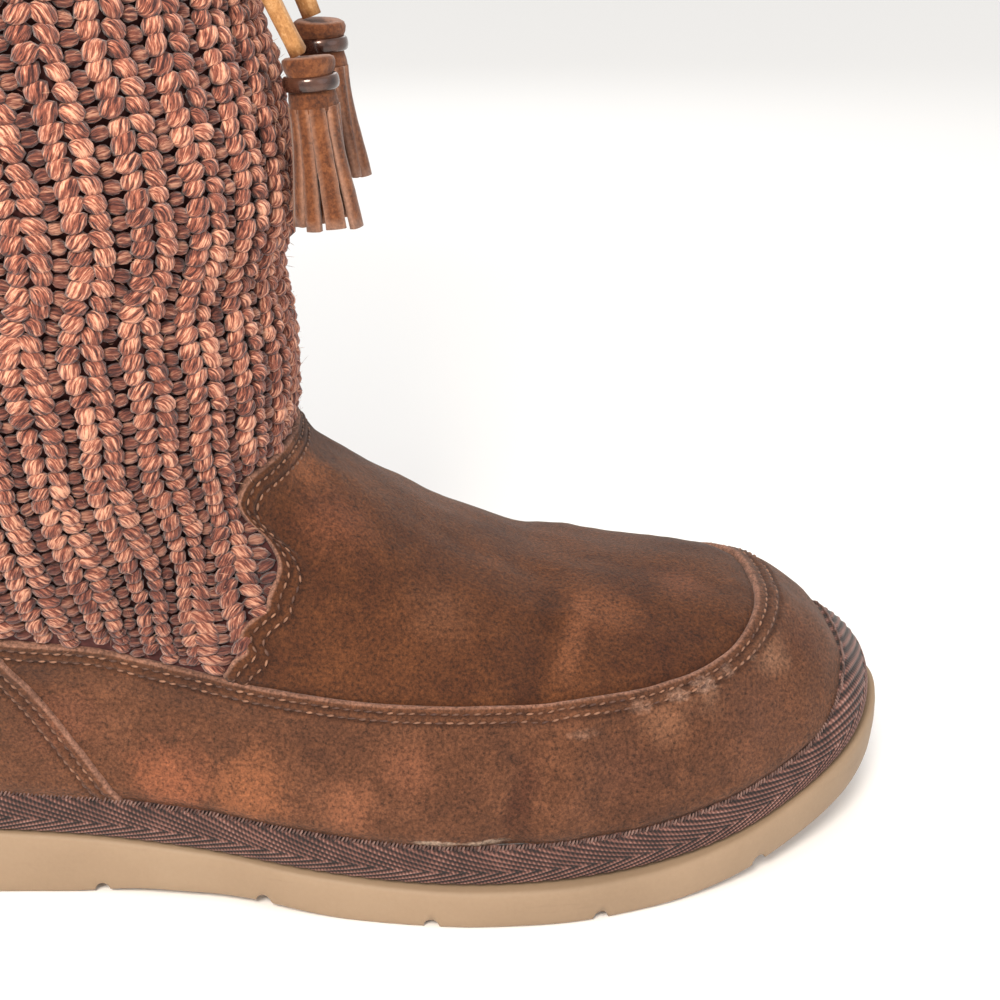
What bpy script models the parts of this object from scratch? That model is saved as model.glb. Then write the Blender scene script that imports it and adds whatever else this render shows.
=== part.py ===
"""Mukluk boot, right foot, standing empty on its sole.

Metres, +Z up, toe at +X, outer (lateral) side at -Y.
The origin is on the floor under the middle of the heel.
"""
from collections import namedtuple
import math

import bmesh
import bpy
import numpy as np

# Driving sizes of the boot
LENGTH = 0.280            # outsole from heel to toe
BALL_WIDTH = 0.1038       # outsole across the ball
HEEL_WIDTH = 0.0745       # outsole across the heel
INSTEP_HEIGHT = 0.098     # floor to the upper's ridge where the shaft starts
HEIGHT = 0.340            # floor to the collar
SHAFT_DEPTH = 0.134       # shaft, front to back
SHAFT_WIDTH = 0.099       # shaft, side to side
SWING = 0.0055            # sideways swing of the foot's centre line
RIDGE_SIDE = 0.002        # the instep's ridge lies this far to the inner side
HEEL_CENTRE = 0.042       # heel's back to the origin

# Sole
SOLE_HEEL = 0.0175        # thickness at the heel
SOLE_BALL = 0.0095        # thickness at the ball
TOE_SPRING = 0.0150       # rise of the sole's underside at the toe tip
TOE_BUMPER = 0.0028       # how much thicker the sole is at the toe tip
ARCH_RISE = 0.0016        # rise of the underside at the arch
SOLE_EDGE = 0.0012        # rounding of the sole's edges
GROOVE_WIDTH = 0.0027     # cross grooves between the lugs
GROOVE_DEPTH = 0.0020
GROOVE_PITCH = 0.0375
GROOVE_SHIFT = 0.0100     # the row of grooves sits this far towards the toe
INSOLE_THICK = 0.0045
INSOLE_CLEAR = 0.0040     # between insole and upper at the sides

# Walls, panels and clearances
GAP = 0.0003              # between pieces that touch
PANEL_GAP = 0.0004        # half the gap between two panels, edge to edge
LAY = 0.0008              # between the upper's facets and a panel that follows them
WALL = 0.0028             # lined wall of the upper
PANEL = 0.0016            # suede panels
UPPER_INSET = 0.0042      # upper's foot inside the sole's outline
TAPE_HEIGHT = 0.0105
TAPE_THICK = 0.0034       # at the tape's round middle
TAPE_EDGE = 0.0018        # at the tape's two edges
KNIT_WALL = 0.0040
COLLAR_TURN = 0.0140      # height of the knit's turned edge
COLLAR_STEP = 0.0012      # how far the turned edge stands proud
WIDEST = 0.0080           # height of the widest line above the sole
TUCK = 0.0300             # how slowly the wall tucks in below the widest line

# Thongs and tassels
THONG = 0.0038
THONG_HEIGHT = 0.300      # floor to the thong round the shaft
KNOT_PLACE = 0.42         # where the thong is tied, as a share round the shaft
KNOT_SIZE = (0.0105, 0.0085, 0.0100)
KNOT_SEAT = 0.00370       # knot's middle over the knit
END_SIDE = 0.0022         # the two ends leave the knot this far to each side of its middle
END_DROP = 0.0050         # and this far below it
TASSEL_LENGTH = 0.0335
TASSEL_HEAD = 0.0052      # radius of the rolled top
TASSEL_NECK = 0.0040      # radius under the clip
TASSEL_SPREAD = 0.0064    # radius of the fringe's end
STRIPS = 9
STRIP_PROUD = 0.0011      # how far the strips stand out of the fringe
CLIP_THICK = 0.0009
CLIP_HEIGHT = 0.0030
CLIP_DROP = 0.0048        # the clip's middle below the tassel's top

# Mesh counts
COLUMNS = 42
BLEND = 13.0              # sharpness of the join between foot and shaft
SIDE_POWER = 2.6          # squareness of the foot's sections, sideways
TOP_POWER = 2.3           # and towards the ridge
SHAFT_POWER = 2.25

Station = namedtuple("Station", "along heel ball centre")
OUTLINE = [
    Station(0.000, 0.000, 0.000, 0.00),
    Station(0.012, 0.188, 0.000, 0.00),
    Station(0.040, 0.322, 0.000, 0.00),
    Station(0.080, 0.416, 0.000, 0.00),
    Station(0.140, 0.473, 0.000, -0.05),
    Station(0.220, 0.500, 0.000, -0.14),
    Station(0.320, 0.497, 0.000, -0.36),
    Station(0.420, 0.260, 0.182, -0.77),
    Station(0.508, 0.100, 0.347, -1.00),
    Station(0.585, 0.000, 0.465, -0.86),
    Station(0.645, 0.000, 0.491, -0.64),
    Station(0.706, 0.000, 0.500, -0.35),
    Station(0.778, 0.000, 0.479, 0.05),
    Station(0.846, 0.000, 0.429, 0.36),
    Station(0.904, 0.000, 0.352, 0.64),
    Station(0.952, 0.000, 0.260, 0.82),
    Station(0.984, 0.000, 0.149, 1.00),
    Station(1.000, 0.000, 0.000, 1.27),
]

Ridge = namedtuple("Ridge", "along height")
RIDGE = [
    Ridge(0.00, 0.80),
    Ridge(0.10, 1.02),
    Ridge(0.30, 1.10),
    Ridge(0.42, 1.07),
    Ridge(0.504, 0.922),
    Ridge(0.564, 0.808),
    Ridge(0.614, 0.722),
    Ridge(0.664, 0.664),
    Ridge(0.714, 0.626),
    Ridge(0.764, 0.602),
    Ridge(0.814, 0.590),
    Ridge(0.864, 0.568),
    Ridge(0.900, 0.538),
    Ridge(0.925, 0.492),
    Ridge(0.943, 0.430),
    Ridge(0.955, 0.365),
    Ridge(0.972, 0.300),
    Ridge(1.000, 0.290),
]

Section = namedtuple("Section", "up front back width")
SHAFT = [
    Section(0.000, 0.740, 0.100, 0.270),
    Section(0.090, 0.840, 0.070, 0.310),
    Section(0.170, 0.910, 0.040, 0.375),
    Section(0.240, 0.945, 0.068, 0.415),
    Section(0.300, 0.975, 0.075, 0.445),
    Section(0.345, 0.985, 0.075, 0.462),
    Section(0.395, 0.973, 0.072, 0.474),
    Section(0.450, 1.006, 0.062, 0.487),
    Section(0.510, 0.988, 0.045, 0.492),
    Section(0.560, 0.963, 0.038, 0.498),
    Section(0.620, 0.968, 0.030, 0.505),
    Section(0.720, 0.990, 0.016, 0.512),
    Section(0.830, 1.005, 0.010, 0.520),
    Section(0.900, 0.998, 0.008, 0.518),
    Section(1.000, 1.010, 0.000, 0.530),
]

Seam = namedtuple("Seam", "along height")
SEAM = [
    Seam(0.000, 0.800),
    Seam(0.120, 0.775),
    Seam(0.220, 0.730),
    Seam(0.290, 0.690),
    Seam(0.340, 0.655),
    Seam(0.393, 0.603),
    Seam(0.464, 0.555),
    Seam(0.554, 0.516),
    Seam(0.643, 0.492),
    Seam(0.704, 0.484),
    Seam(0.757, 0.484),
    Seam(0.800, 0.494),
    Seam(0.839, 0.515),
    Seam(0.870, 0.550),
    Seam(0.920, 0.625),
    Seam(1.000, 0.730),
]

Edge = namedtuple("Edge", "along height")
PLUG_REAR = [
    Edge(0.469, 0.965),
    Edge(0.461, 0.925),
    Edge(0.468, 0.880),
    Edge(0.487, 0.825),
    Edge(0.499, 0.765),
    Edge(0.496, 0.705),
    Edge(0.484, 0.645),
    Edge(0.468, 0.592),
]
PLUG_TOP = 0.494          # where the plug's rear edge crosses the ridge, along
COUNTER_TOP = 0.278       # counter's front edge at the seam, along
COUNTER_FOOT = 0.362      # and at the tape

Level = namedtuple("Level", "heel toe")
ANKLE = Level(0.90, 1.30)   # line through the ankle, in instep heights

Cord = namedtuple("Cord", "route top tip")
CORDS = {
    "front": Cord(
        [(0.1302, -0.0412, 0.2820), (0.1310, -0.0402, 0.2720),
         (0.1318, -0.0380, 0.2610), (0.1325, -0.0352, 0.2500), (0.1333, -0.0322, 0.2390),
         (0.1345, -0.0290, 0.2280), (0.1362, -0.0256, 0.2170), (0.1380, -0.0222, 0.2070),
         (0.1402, -0.0185, 0.1980), (0.1432, -0.0150, 0.1895), (0.1470, -0.0122, 0.1803)],
        (0.1487, -0.0118, 0.1795), (0.1510, -0.0112, 0.1460)),
    "side": Cord(
        [(0.1385, -0.0310, 0.2840), (0.1410, -0.0262, 0.2740),
         (0.1428, -0.0208, 0.2640), (0.1440, -0.0150, 0.2540), (0.1446, -0.0092, 0.2440),
         (0.1446, -0.0035, 0.2340), (0.1440, 0.0018, 0.2235), (0.1432, 0.0062, 0.2130),
         (0.1433, 0.0092, 0.2030), (0.1450, 0.0105, 0.1935), (0.1478, 0.0108, 0.1850)],
        (0.1492, 0.0108, 0.1842), (0.1508, 0.0108, 0.1507)),
}

# How the points round a loop are shared between heel, sides and toe
HEEL_FAN = 0.095
TOE_FAN = 0.150
HEEL_RADIUS = 0.034
TOE_RADIUS = 0.045
SHAFT_RADIUS = 0.047


def slopes(xs, ys):
    """Slopes of a smooth curve through the rows of a table that never overshoots."""
    steps = np.diff(ys) / np.diff(xs)
    out = np.zeros(len(xs))
    out[0] = steps[0]
    out[-1] = steps[-1]
    for i in range(1, len(xs) - 1):
        if steps[i - 1] * steps[i] > 0:
            out[i] = 2 * steps[i - 1] * steps[i] / (steps[i - 1] + steps[i])
    return out


def curve(rows, column, scale=1.0):
    """A smooth function through one column of a table whose first column runs along."""
    xs = np.array([row[0] for row in rows], dtype=float)
    ys = np.array([getattr(row, column) for row in rows], dtype=float) * scale
    tangents = slopes(xs, ys)

    def value(s):
        s = np.clip(np.asarray(s, dtype=float), xs[0], xs[-1])
        i = np.clip(np.searchsorted(xs, s, side="right") - 1, 0, len(xs) - 2)
        h = xs[i + 1] - xs[i]
        t = (s - xs[i]) / h
        a = (1 + 2 * t) * (1 - t) ** 2 * ys[i] + t * (1 - t) ** 2 * h * tangents[i]
        b = t ** 2 * (3 - 2 * t) * ys[i + 1] + t ** 2 * (t - 1) * h * tangents[i + 1]
        return a + b
    return value


def smoothstep(t):
    t = np.clip(t, 0.0, 1.0)
    return t * t * (3 - 2 * t)


def squared_width(rows):
    """Half width as the root of a smooth curve, which closes both ends in a round."""
    widths = [row.heel * HEEL_WIDTH + row.ball * BALL_WIDTH for row in rows]
    Width = namedtuple("Width", "along square")
    square = curve([Width(row.along, w * w) for row, w in zip(rows, widths)], "square")
    return lambda s: np.sqrt(np.maximum(square(s), 0.0))


half_width = squared_width(OUTLINE)
centre_line = curve(OUTLINE, "centre", SWING)
ridge_height = curve(RIDGE, "height", INSTEP_HEIGHT)
seam_height = curve(SEAM, "height", INSTEP_HEIGHT)
shaft_front = curve(SHAFT, "front", SHAFT_DEPTH)
shaft_back = curve(SHAFT, "back", SHAFT_DEPTH)
shaft_side = curve(SHAFT, "width", SHAFT_WIDTH)
SHAFT_SET = 0.0035        # the shaft's back line ahead of the sole's back


def sole_bottom(x):
    """Height of the sole's underside: flat heel and ball, slight arch, toe spring."""
    s = np.asarray(x) / LENGTH
    toe = TOE_SPRING * np.clip((s - 0.75) / 0.25, 0, None) ** 2
    arch = ARCH_RISE * smoothstep((s - 0.30) / 0.08) * smoothstep((0.54 - s) / 0.08)
    return toe + arch


def sole_top(x):
    s = np.asarray(x) / LENGTH
    spring = (TOE_SPRING + TOE_BUMPER) * np.clip((s - 0.75) / 0.25, 0, None) ** 2
    thick = SOLE_BALL + (SOLE_HEEL - SOLE_BALL) * smoothstep((0.64 - s) / 0.50)
    return spring + thick


def widest_line(x):
    """Height of the wall's widest line above the sole; it comes down round the toe."""
    return WIDEST * (1 - smoothstep((np.asarray(x) / LENGTH - 0.80) / 0.14)) + GAP


def form(x, y, z):
    """Below 1 inside the upper's outer surface and above 1 outside; x runs from the heel's back."""
    inner = LENGTH - 2 * UPPER_INSET
    s = np.clip((x - UPPER_INSET) / inner, 0.0, 1.0)
    past = np.maximum(np.maximum(UPPER_INSET - x, x - LENGTH + UPPER_INSET), 0.0)
    shrink = 1 - 2 * UPPER_INSET / BALL_WIDTH
    width = np.maximum(half_width(s) * shrink, 0.0012)
    low = sole_top(x) + widest_line(x)
    top = np.maximum(ridge_height(x / LENGTH), low + 0.003)
    rise = (z - low) / (top - low)
    down = (low - z) / TUCK
    v = np.where(z > low, rise, down)
    lift = smoothstep(np.clip(rise, 0, 1))
    middle = centre_line(s) * (1 - lift) + RIDGE_SIDE * lift
    u = np.abs(y - middle) / width
    foot = (u ** SIDE_POWER + np.maximum(v, 0) ** TOP_POWER) ** (2 / (SIDE_POWER + TOP_POWER)) + past / 0.004
    up = z / HEIGHT
    front = shaft_front(up) + SHAFT_SET
    back = shaft_back(up) + SHAFT_SET
    middle_x = (front + back) / 2
    p = np.abs(x - middle_x) / ((front - back) / 2)
    q = np.abs(y) / shaft_side(up)
    shaft = (p ** SHAFT_POWER + q ** SHAFT_POWER) ** (1 / SHAFT_POWER)
    foot = np.maximum(foot, 0.05)
    shaft = np.maximum(shaft, 0.05)
    return (foot ** -BLEND + shaft ** -BLEND) ** (-1 / BLEND)


def level(k, x):
    """Height over x of loop k: 0 sole, 1 tape's top, 2 seam, 3 ankle, 4 collar."""
    k = np.asarray(k, dtype=float)
    s = x / LENGTH
    base = sole_top(x) + GAP
    tape = sole_top(x) + GAP + TAPE_HEIGHT
    seam = seam_height(s)
    ankle = INSTEP_HEIGHT * (ANKLE.heel + (ANKLE.toe - ANKLE.heel) * s)
    collar = HEIGHT + 0 * s
    out = np.where(k < 1, base + (tape - base) * k, tape + (seam - tape) * (k - 1))
    out = np.where(k < 2, out, seam + (ankle - seam) * (k - 2))
    return np.where(k < 3, out, ankle + (collar - ankle) * (k - 3))


def bisect(inside, outside, test):
    for _ in range(44):
        middle = (inside + outside) / 2
        within = test(middle)
        inside = np.where(within, middle, inside)
        outside = np.where(within, outside, middle)
    return (inside + outside) / 2


def surface(k, a, offset=0.0):
    """Points of the form on loops k at places a: 0 heel, 0.25 outer side, 0.5 toe, 0.75 inner side."""
    k, a = np.broadcast_arrays(np.asarray(k, dtype=float), np.asarray(a, dtype=float))
    a = np.mod(a, 1.0)
    start = np.full(k.shape, 0.075)
    front = bisect(start, start * 0 + LENGTH, lambda x: form(x, 0 * x, level(k, x)) < 1)
    back = bisect(start, start * 0 - 0.01, lambda x: form(x, 0 * x, level(k, x)) < 1)
    rise = smoothstep((k - 2.0) / 1.0)
    rear = back + HEEL_RADIUS + (SHAFT_RADIUS - HEEL_RADIUS) * rise
    fore = front - TOE_RADIUS
    t = np.where(a < 0.5, a, 1 - a)
    side = np.where(a < 0.5, -1.0, 1.0)
    heel_turn = np.clip(t / HEEL_FAN, 0, 1) * math.pi / 2
    toe_turn = np.clip((t - 0.5 + TOE_FAN) / TOE_FAN, 0, 1) * math.pi / 2
    along = np.clip((t - HEEL_FAN) / (0.5 - TOE_FAN - HEEL_FAN), 0, 1)
    dx = -np.cos(heel_turn) + np.sin(toe_turn)
    dy = side * np.sin(heel_turn) * np.cos(toe_turn)
    ox = rear + (fore - rear) * along
    oy = centre_line(np.clip(ox / LENGTH, 0, 1)) * (1 - rise)
    reach = bisect(0 * ox, 0 * ox + 0.14, lambda r: form(ox + r * dx, oy + r * dy, level(k, ox + r * dx)) < 1)
    points = np.stack([ox + reach * dx, oy + reach * dy, level(k, ox + reach * dx)], axis=-1)
    if np.any(np.asarray(offset) != 0):
        points = points + normals(points) * np.asarray(offset)[..., None]
    return points


def normals(points, step=0.0002):
    x, y, z = points[..., 0], points[..., 1], points[..., 2]
    gx = form(x + step, y, z) - form(x - step, y, z)
    gy = form(x, y + step, z) - form(x, y - step, z)
    gz = form(x, y, z + step) - form(x, y, z - step)
    g = np.stack([gx, gy, gz], axis=-1)
    return g / np.linalg.norm(g, axis=-1, keepdims=True)


def loop_at(x, z):
    """The loop whose height over x is z."""
    knots = np.array([float(level(k, x)) for k in (0, 1, 2, 3, 4)])
    return float(np.interp(z, knots, [0, 1, 2, 3, 4]))


def place(along, height, inner=False):
    """Loop and place round it of a point given in the side view."""
    x = along * LENGTH
    k = loop_at(x, height)
    a = np.linspace(0.0, 0.5, 241)
    reach = surface(np.full(a.shape, k), a)[:, 0]
    at = float(np.interp(x, reach, a))
    return k, (1 - at if inner else at)


def to_object(name, points, faces, material, smooth=True):
    """A named mesh object; points come with x from the heel's back."""
    mesh = bpy.data.meshes.new(name)
    shifted = [(float(p[0]) - HEEL_CENTRE, float(p[1]), float(p[2])) for p in points]
    mesh.from_pydata(shifted, [], faces)
    mesh.update()
    bm = bmesh.new()
    bm.from_mesh(mesh)
    bmesh.ops.remove_doubles(bm, verts=bm.verts, dist=0.000002)
    bmesh.ops.recalc_face_normals(bm, faces=bm.faces)
    bm.to_mesh(mesh)
    bm.free()
    if smooth:
        mesh.shade_smooth()
        mesh.set_sharp_from_angle(angle=math.radians(40))
    mesh.materials.append(material)
    obj = bpy.data.objects.new(name, mesh)
    bpy.context.scene.collection.objects.link(obj)
    return obj


def shell(name, outer, inner, material, closed):
    """A closed shell from two equal grids of points; closed says that the rows are rings."""
    rows, columns = outer.shape[:2]
    points = np.concatenate([outer.reshape(-1, 3), inner.reshape(-1, 3)])
    shift = rows * columns
    faces = []
    last = columns if closed else columns - 1
    for i in range(rows - 1):
        for j in range(last):
            n = (j + 1) % columns
            a, b = i * columns + j, i * columns + n
            c, d = (i + 1) * columns + n, (i + 1) * columns + j
            for face in ((a, b, c), (a, c, d)):
                faces.append(face)
                faces.append(tuple(shift + v for v in face[::-1]))
    for i, turn in ((0, 1), (rows - 1, -1)):
        for j in range(last):
            n = (j + 1) % columns
            a, b = i * columns + j, i * columns + n
            faces.append((a, shift + a, shift + b, b)[::turn])
    if not closed:
        for j, turn in ((0, -1), (columns - 1, 1)):
            for i in range(rows - 1):
                a, b = i * columns + j, (i + 1) * columns + j
                faces.append((a, shift + a, shift + b, b)[::turn])
    return to_object(name, points, faces, material)


def leather(name, colour, roughness, metallic=0.0):
    material = bpy.data.materials.new(name)
    material.use_nodes = True
    shader = material.node_tree.nodes["Principled BSDF"]
    shader.inputs["Base Color"].default_value = (*colour, 1.0)
    shader.inputs["Roughness"].default_value = roughness
    shader.inputs["Metallic"].default_value = metallic
    return material


def ring_places(count=COLUMNS):
    return np.arange(count) / count


def outline_stations(count=30):
    """Places along the sole, closer together towards both ends."""
    return 0.5 * (1 - np.cos(np.linspace(0, math.pi, count)))


def plate(name, inset, low, high, edge, material, count=30):
    """A flat piece with the sole's outline; low and high give its heights over x."""
    s = outline_stations(count)
    rings = []
    for tuck, side, lift in ((edge, low, 0.0), (0.0, low, edge), (0.0, high, -edge), (edge, high, 0.0)):
        scale = 1 - 2 * (inset + tuck) / BALL_WIDTH
        xs = inset + tuck + s * (LENGTH - 2 * (inset + tuck))
        height = side(xs) + lift
        w = half_width(s) * scale
        c = centre_line(s)
        lateral = np.stack([xs, c - w, height], axis=-1)
        medial = np.stack([xs, c + w, height], axis=-1)
        rings.append(np.concatenate([lateral, medial[::-1][1:-1]]))
    rings = np.array(rings)
    total = rings.shape[1]
    points = rings.reshape(-1, 3)
    faces = []
    for r in range(3):
        for j in range(total):
            n = (j + 1) % total
            faces.append((r * total + j, r * total + n, (r + 1) * total + n, (r + 1) * total + j))
    for r, turn in ((0, 1), (3, -1)):
        for i in range(count - 1):
            a, b = i, i + 1
            c, d = (total - b) % total, (total - a) % total
            face = [r * total + v for v in (a, b, c, d)]
            if i == 0:
                face = [r * total + v for v in (a, b, c)]
            if i == count - 2:
                face = [r * total + v for v in (a, b, d)]
            faces.append(tuple(face[::turn]))
    return to_object(name, points, faces, material)


def box_points(x0, x1, y0, y1, z0, z1):
    return [(x, y, z) for x in (x0, x1) for y in (y0, y1) for z in (z0, z1)]


BOX_FACES = [(0, 1, 3, 2), (4, 6, 7, 5), (0, 4, 5, 1), (2, 3, 7, 6), (0, 2, 6, 4), (1, 5, 7, 3)]


def groove_cutter():
    """Bars across the sole, one for each groove between the lugs."""
    points, faces = [], []
    count = int((LENGTH - GROOVE_PITCH) / GROOVE_PITCH)
    first = (LENGTH - (count - 1) * GROOVE_PITCH) / 2 + GROOVE_SHIFT
    for i in range(count):
        x = first + i * GROOVE_PITCH
        z = float(sole_bottom(x))
        start = len(points)
        half = GROOVE_WIDTH / 2
        points += box_points(x - half, x + half, -BALL_WIDTH, BALL_WIDTH, z - 0.01, z + GROOVE_DEPTH)
        faces += [tuple(start + v for v in face) for face in BOX_FACES]
    obj = to_object("groove_cutter", points, faces, leather("cutter", (0.5, 0.5, 0.5), 0.5))
    obj.hide_render = True
    obj.display_type = "WIRE"
    return obj


def make_outsole(material):
    sole = plate("outsole", 0.0, sole_bottom, sole_top, SOLE_EDGE, material)
    cut = sole.modifiers.new("grooves", "BOOLEAN")
    cut.object = groove_cutter()
    cut.operation = "DIFFERENCE"
    cut.solver = "EXACT"
    return sole


def make_insole(material):
    inset = UPPER_INSET + WALL + INSOLE_CLEAR
    low = lambda x: sole_top(x) + GAP
    high = lambda x: sole_top(x) + GAP + INSOLE_THICK
    return plate("insole", inset, low, high, 0.0008, material, 24)


def make_upper(material):
    """The lined inner boot, from the sole to just under the knit's turned edge."""
    k = np.concatenate([ROWS, INSTEP_ROWS, 3 + np.array(SHAFT_ROWS[1:])])
    k[-1] = 3.985
    grid_k, grid_a = np.meshgrid(k, ring_places(), indexing="ij")
    outer = surface(grid_k, grid_a)
    inner = outer - normals(outer) * WALL
    rest_on_sole(outer)
    rest_on_sole(inner)
    inner[-1, :, 2] = outer[-1, :, 2]
    return shell("upper", outer, inner, material, True)


def panel_grid(k, a, thick=PANEL, base=LAY):
    """Outer and inner points of a panel that lies on the upper at loops k and places a."""
    foot = surface(k, a)
    out = normals(foot)
    return foot + out * (base + thick), foot + out * base


def rest_on_sole(grid):
    """Puts a grid's lowest row on the sole, a gap above it."""
    grid[0, :, 2] = sole_top(grid[0, :, 0]) + GAP


def make_tape(material):
    rows = np.array([0.0, 0.3, 0.7, 1.0])
    bulge = np.sin(np.pi * rows) ** 0.8
    grid_k, grid_a = np.meshgrid(rows, ring_places(), indexing="ij")
    foot = surface(grid_k, grid_a)
    out = normals(foot)
    thick = (TAPE_EDGE + (TAPE_THICK - TAPE_EDGE) * bulge)[:, None, None]
    outer = foot + out * (LAY + thick)
    inner = foot + out * LAY
    rest_on_sole(outer)
    rest_on_sole(inner)
    return shell("binding_tape", outer, inner, material, True)


def diagonal(share, inner):
    """Place round the loop of the counter's front edge, share 0 at the tape and 1 at the seam."""
    along = COUNTER_FOOT + (COUNTER_TOP - COUNTER_FOOT) * share
    x = along * LENGTH
    low = float(level(1.0, x))
    high = float(level(2.0, x))
    return place(along, low + (high - low) * share, inner)


KNIT_SPLIT = 10 / COLUMNS   # knit columns before this place start at the band, not at the plug
KNIT_CLEAR = 0.014        # between the knit's lower edge and the panels, as a share of a loop
MAP_SCALE = np.array([0.045, 0.55])   # metres on the instep for one loop, and for once round
KNIT_LIFT = 0.0021        # between the upper and the knit below the ankle, where their facets differ
KNIT_PROUD = 0.0004       # the knit's lower edge over the panels' faces
KNIT_LOW_ROWS = [0.0, 0.16, 0.55]
SHAFT_ROWS = [0.0, 0.06, 0.12, 0.20, 0.29, 0.42, 0.60, 0.80, 1.0]
ROWS = [0.0, 0.5, 1.0, 1.33, 1.67, 2.0]     # loops below the seam
INSTEP_ROWS = [2.05, 2.11, 2.19, 2.29, 2.42, 2.58, 2.78, 3.0]
PLUG_ROWS = [0.0, 0.10, 0.24, 0.38, 0.51, 0.63, 0.74, 0.83, 0.91, 0.96, 1.0]
PLUG_LIFT = 0.0014        # between the upper and the plug, whose rows run askew to the upper's
PLUG_TRIM = 0.45          # share of the plug's first and last columns that its corners lack
MITRE = 0.0012            # half the gap between band and counter, as a share round the loop


def band_rows():
    """The upper's own loops between tape and seam, with a small gap to both."""
    return [1.0 + 0.014] + [k for k in ROWS if 1.0 < k < 2.0] + [2.0 - 0.008]


def make_band(name, material, behind):
    """Suede of the side: behind gives the heel's counter, otherwise the band round the toe."""
    rows_k, rows_a = [], []
    rows = band_rows()
    outer_ends = [diagonal(k - 1.0, False)[1] for k in rows]
    inner_ends = [diagonal(k - 1.0, True)[1] for k in rows]
    lattice = ring_places()
    if behind:
        lattice = np.concatenate([lattice - 1.0, lattice])
        near = [a for a in lattice if max(inner_ends) - 1.0 + 0.006 < a < min(outer_ends) - 0.006]
    else:
        near = [a for a in lattice if max(outer_ends) + 0.006 < a < min(inner_ends) - 0.006]
    for k, outer_end, inner_end in zip(rows, outer_ends, inner_ends):
        ends = (outer_end + MITRE, inner_end - MITRE)
        if behind:
            ends = (inner_end + MITRE - 1.0, outer_end - MITRE)
        places = [ends[0]] + near + [ends[1]]
        rows_k.append([k] * len(places))
        rows_a.append(places)
    outer, inner = panel_grid(np.array(rows_k), np.array(rows_a))
    return shell(name, outer, inner, material, False)


def rear_edge(count, shift=0.0):
    """The plug's rear edge as loops and places, from the outer corner over the ridge to the inner one.

    Shift moves it on the surface, in metres: rearwards and up when positive.
    """
    k_top = loop_at(PLUG_TOP * LENGTH, 0.985 * INSTEP_HEIGHT)
    outer = [(k_top, 0.5)]
    for row in PLUG_REAR:
        outer.append(place(row.along, row.height * INSTEP_HEIGHT))
    corner = PLUG_REAR[-1].along - 0.012
    outer.append(place(corner, float(level(2.0, corner * LENGTH))))
    outer = np.array(outer[::-1])
    inner = outer[::-1][1:].copy()
    inner[:, 1] = 1 - inner[:, 1]
    both = np.concatenate([outer, inner]) * MAP_SCALE
    run = np.concatenate([[0], np.cumsum(np.linalg.norm(np.diff(both, axis=0), axis=1))])
    Row = namedtuple("Row", "at k a")
    rows = [Row(r, p[0], p[1]) for r, p in zip(run, both)]
    even = np.linspace(0, run[-1], count)
    points = np.stack([curve(rows, "k")(even), curve(rows, "a")(even)], axis=-1)
    tangent = np.gradient(points, axis=0)
    tangent /= np.linalg.norm(tangent, axis=1, keepdims=True)
    across = np.stack([tangent[:, 1], -tangent[:, 0]], axis=-1)
    moved = (points + across * shift) / MAP_SCALE
    return moved[:, 0], moved[:, 1]


def front_columns():
    """Places round the loop of the knit's columns that start at the plug."""
    return [a for a in ring_places() if KNIT_SPLIT <= a <= 1 - KNIT_SPLIT + 1e-9]


def make_plug(material):
    """Suede over the instep and toe, from its rear edge over the knit to the U-shaped seam."""
    count = len(front_columns())
    rear_k, rear_a = rear_edge(count, -PANEL_GAP)
    front_k = np.full(count, 2.0 + 0.010)
    front_a = np.linspace(rear_a[0], rear_a[-1], count)
    for ends in (rear_k, rear_a, front_a):
        ends[0] += (ends[1] - ends[0]) * PLUG_TRIM
        ends[-1] += (ends[-2] - ends[-1]) * PLUG_TRIM
    t = np.array(PLUG_ROWS)[:, None]
    k = rear_k[None] * (1 - t) + front_k[None] * t
    a = rear_a[None] * (1 - t) + front_a[None] * t
    outer, inner = panel_grid(k, a, PANEL + LAY - PLUG_LIFT, PLUG_LIFT)
    return shell("vamp_plug", outer, inner, material, False)


def make_knit(material):
    """Rib-knit sleeve from the band and the plug's rear edge up to the turned collar."""
    lattice = ring_places()
    front = front_columns()
    edge_k, edge_a = rear_edge(len(front), PANEL_GAP)
    edge_k = np.maximum(edge_k, 2.0 + KNIT_CLEAR)
    behind_k = 2.0 + KNIT_CLEAR
    low_k, low_a = [], []
    for place_round in lattice:
        if place_round in front:
            i = front.index(place_round)
            low_k.append(edge_k[i])
            low_a.append(edge_a[i])
        elif place_round < 0.5:
            low_k.append(behind_k)
            low_a.append(place_round / KNIT_SPLIT * edge_a[0])
        else:
            low_k.append(behind_k)
            low_a.append(1 - (1 - place_round) / KNIT_SPLIT * (1 - edge_a[-1]))
    low_k, low_a = np.array(low_k), np.array(low_a)
    turn = 1 - COLLAR_TURN / (HEIGHT - INSTEP_HEIGHT)
    rows_k, rows_a, rows_d, rows_base = [], [], [], []
    for share in KNIT_LOW_ROWS:
        rows_k.append(low_k + (3.0 - low_k) * share)
        rows_a.append(low_a + (lattice - low_a) * share)
        rows_d.append(PANEL + KNIT_PROUD if share == 0 else KNIT_WALL + LAY - KNIT_LIFT)
        rows_base.append(KNIT_LIFT)
    for share in SHAFT_ROWS[:-1] + [turn - 0.004, turn, 1.0]:
        rows_k.append(np.full(COLUMNS, 3.0 + share))
        rows_a.append(lattice)
        rows_d.append(KNIT_WALL + (COLLAR_STEP if share >= turn else 0.0))
        rows_base.append(LAY)
    foot = surface(np.array(rows_k), np.array(rows_a))
    out = normals(foot)
    base = np.array(rows_base)[:, None, None]
    outer = foot + out * (base + np.array(rows_d)[:, None, None])
    inner = foot + out * base
    inner[-1, :, 2] = outer[-1, :, 2] = HEIGHT
    return shell("knit_shaft", outer, inner, material, True)


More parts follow.
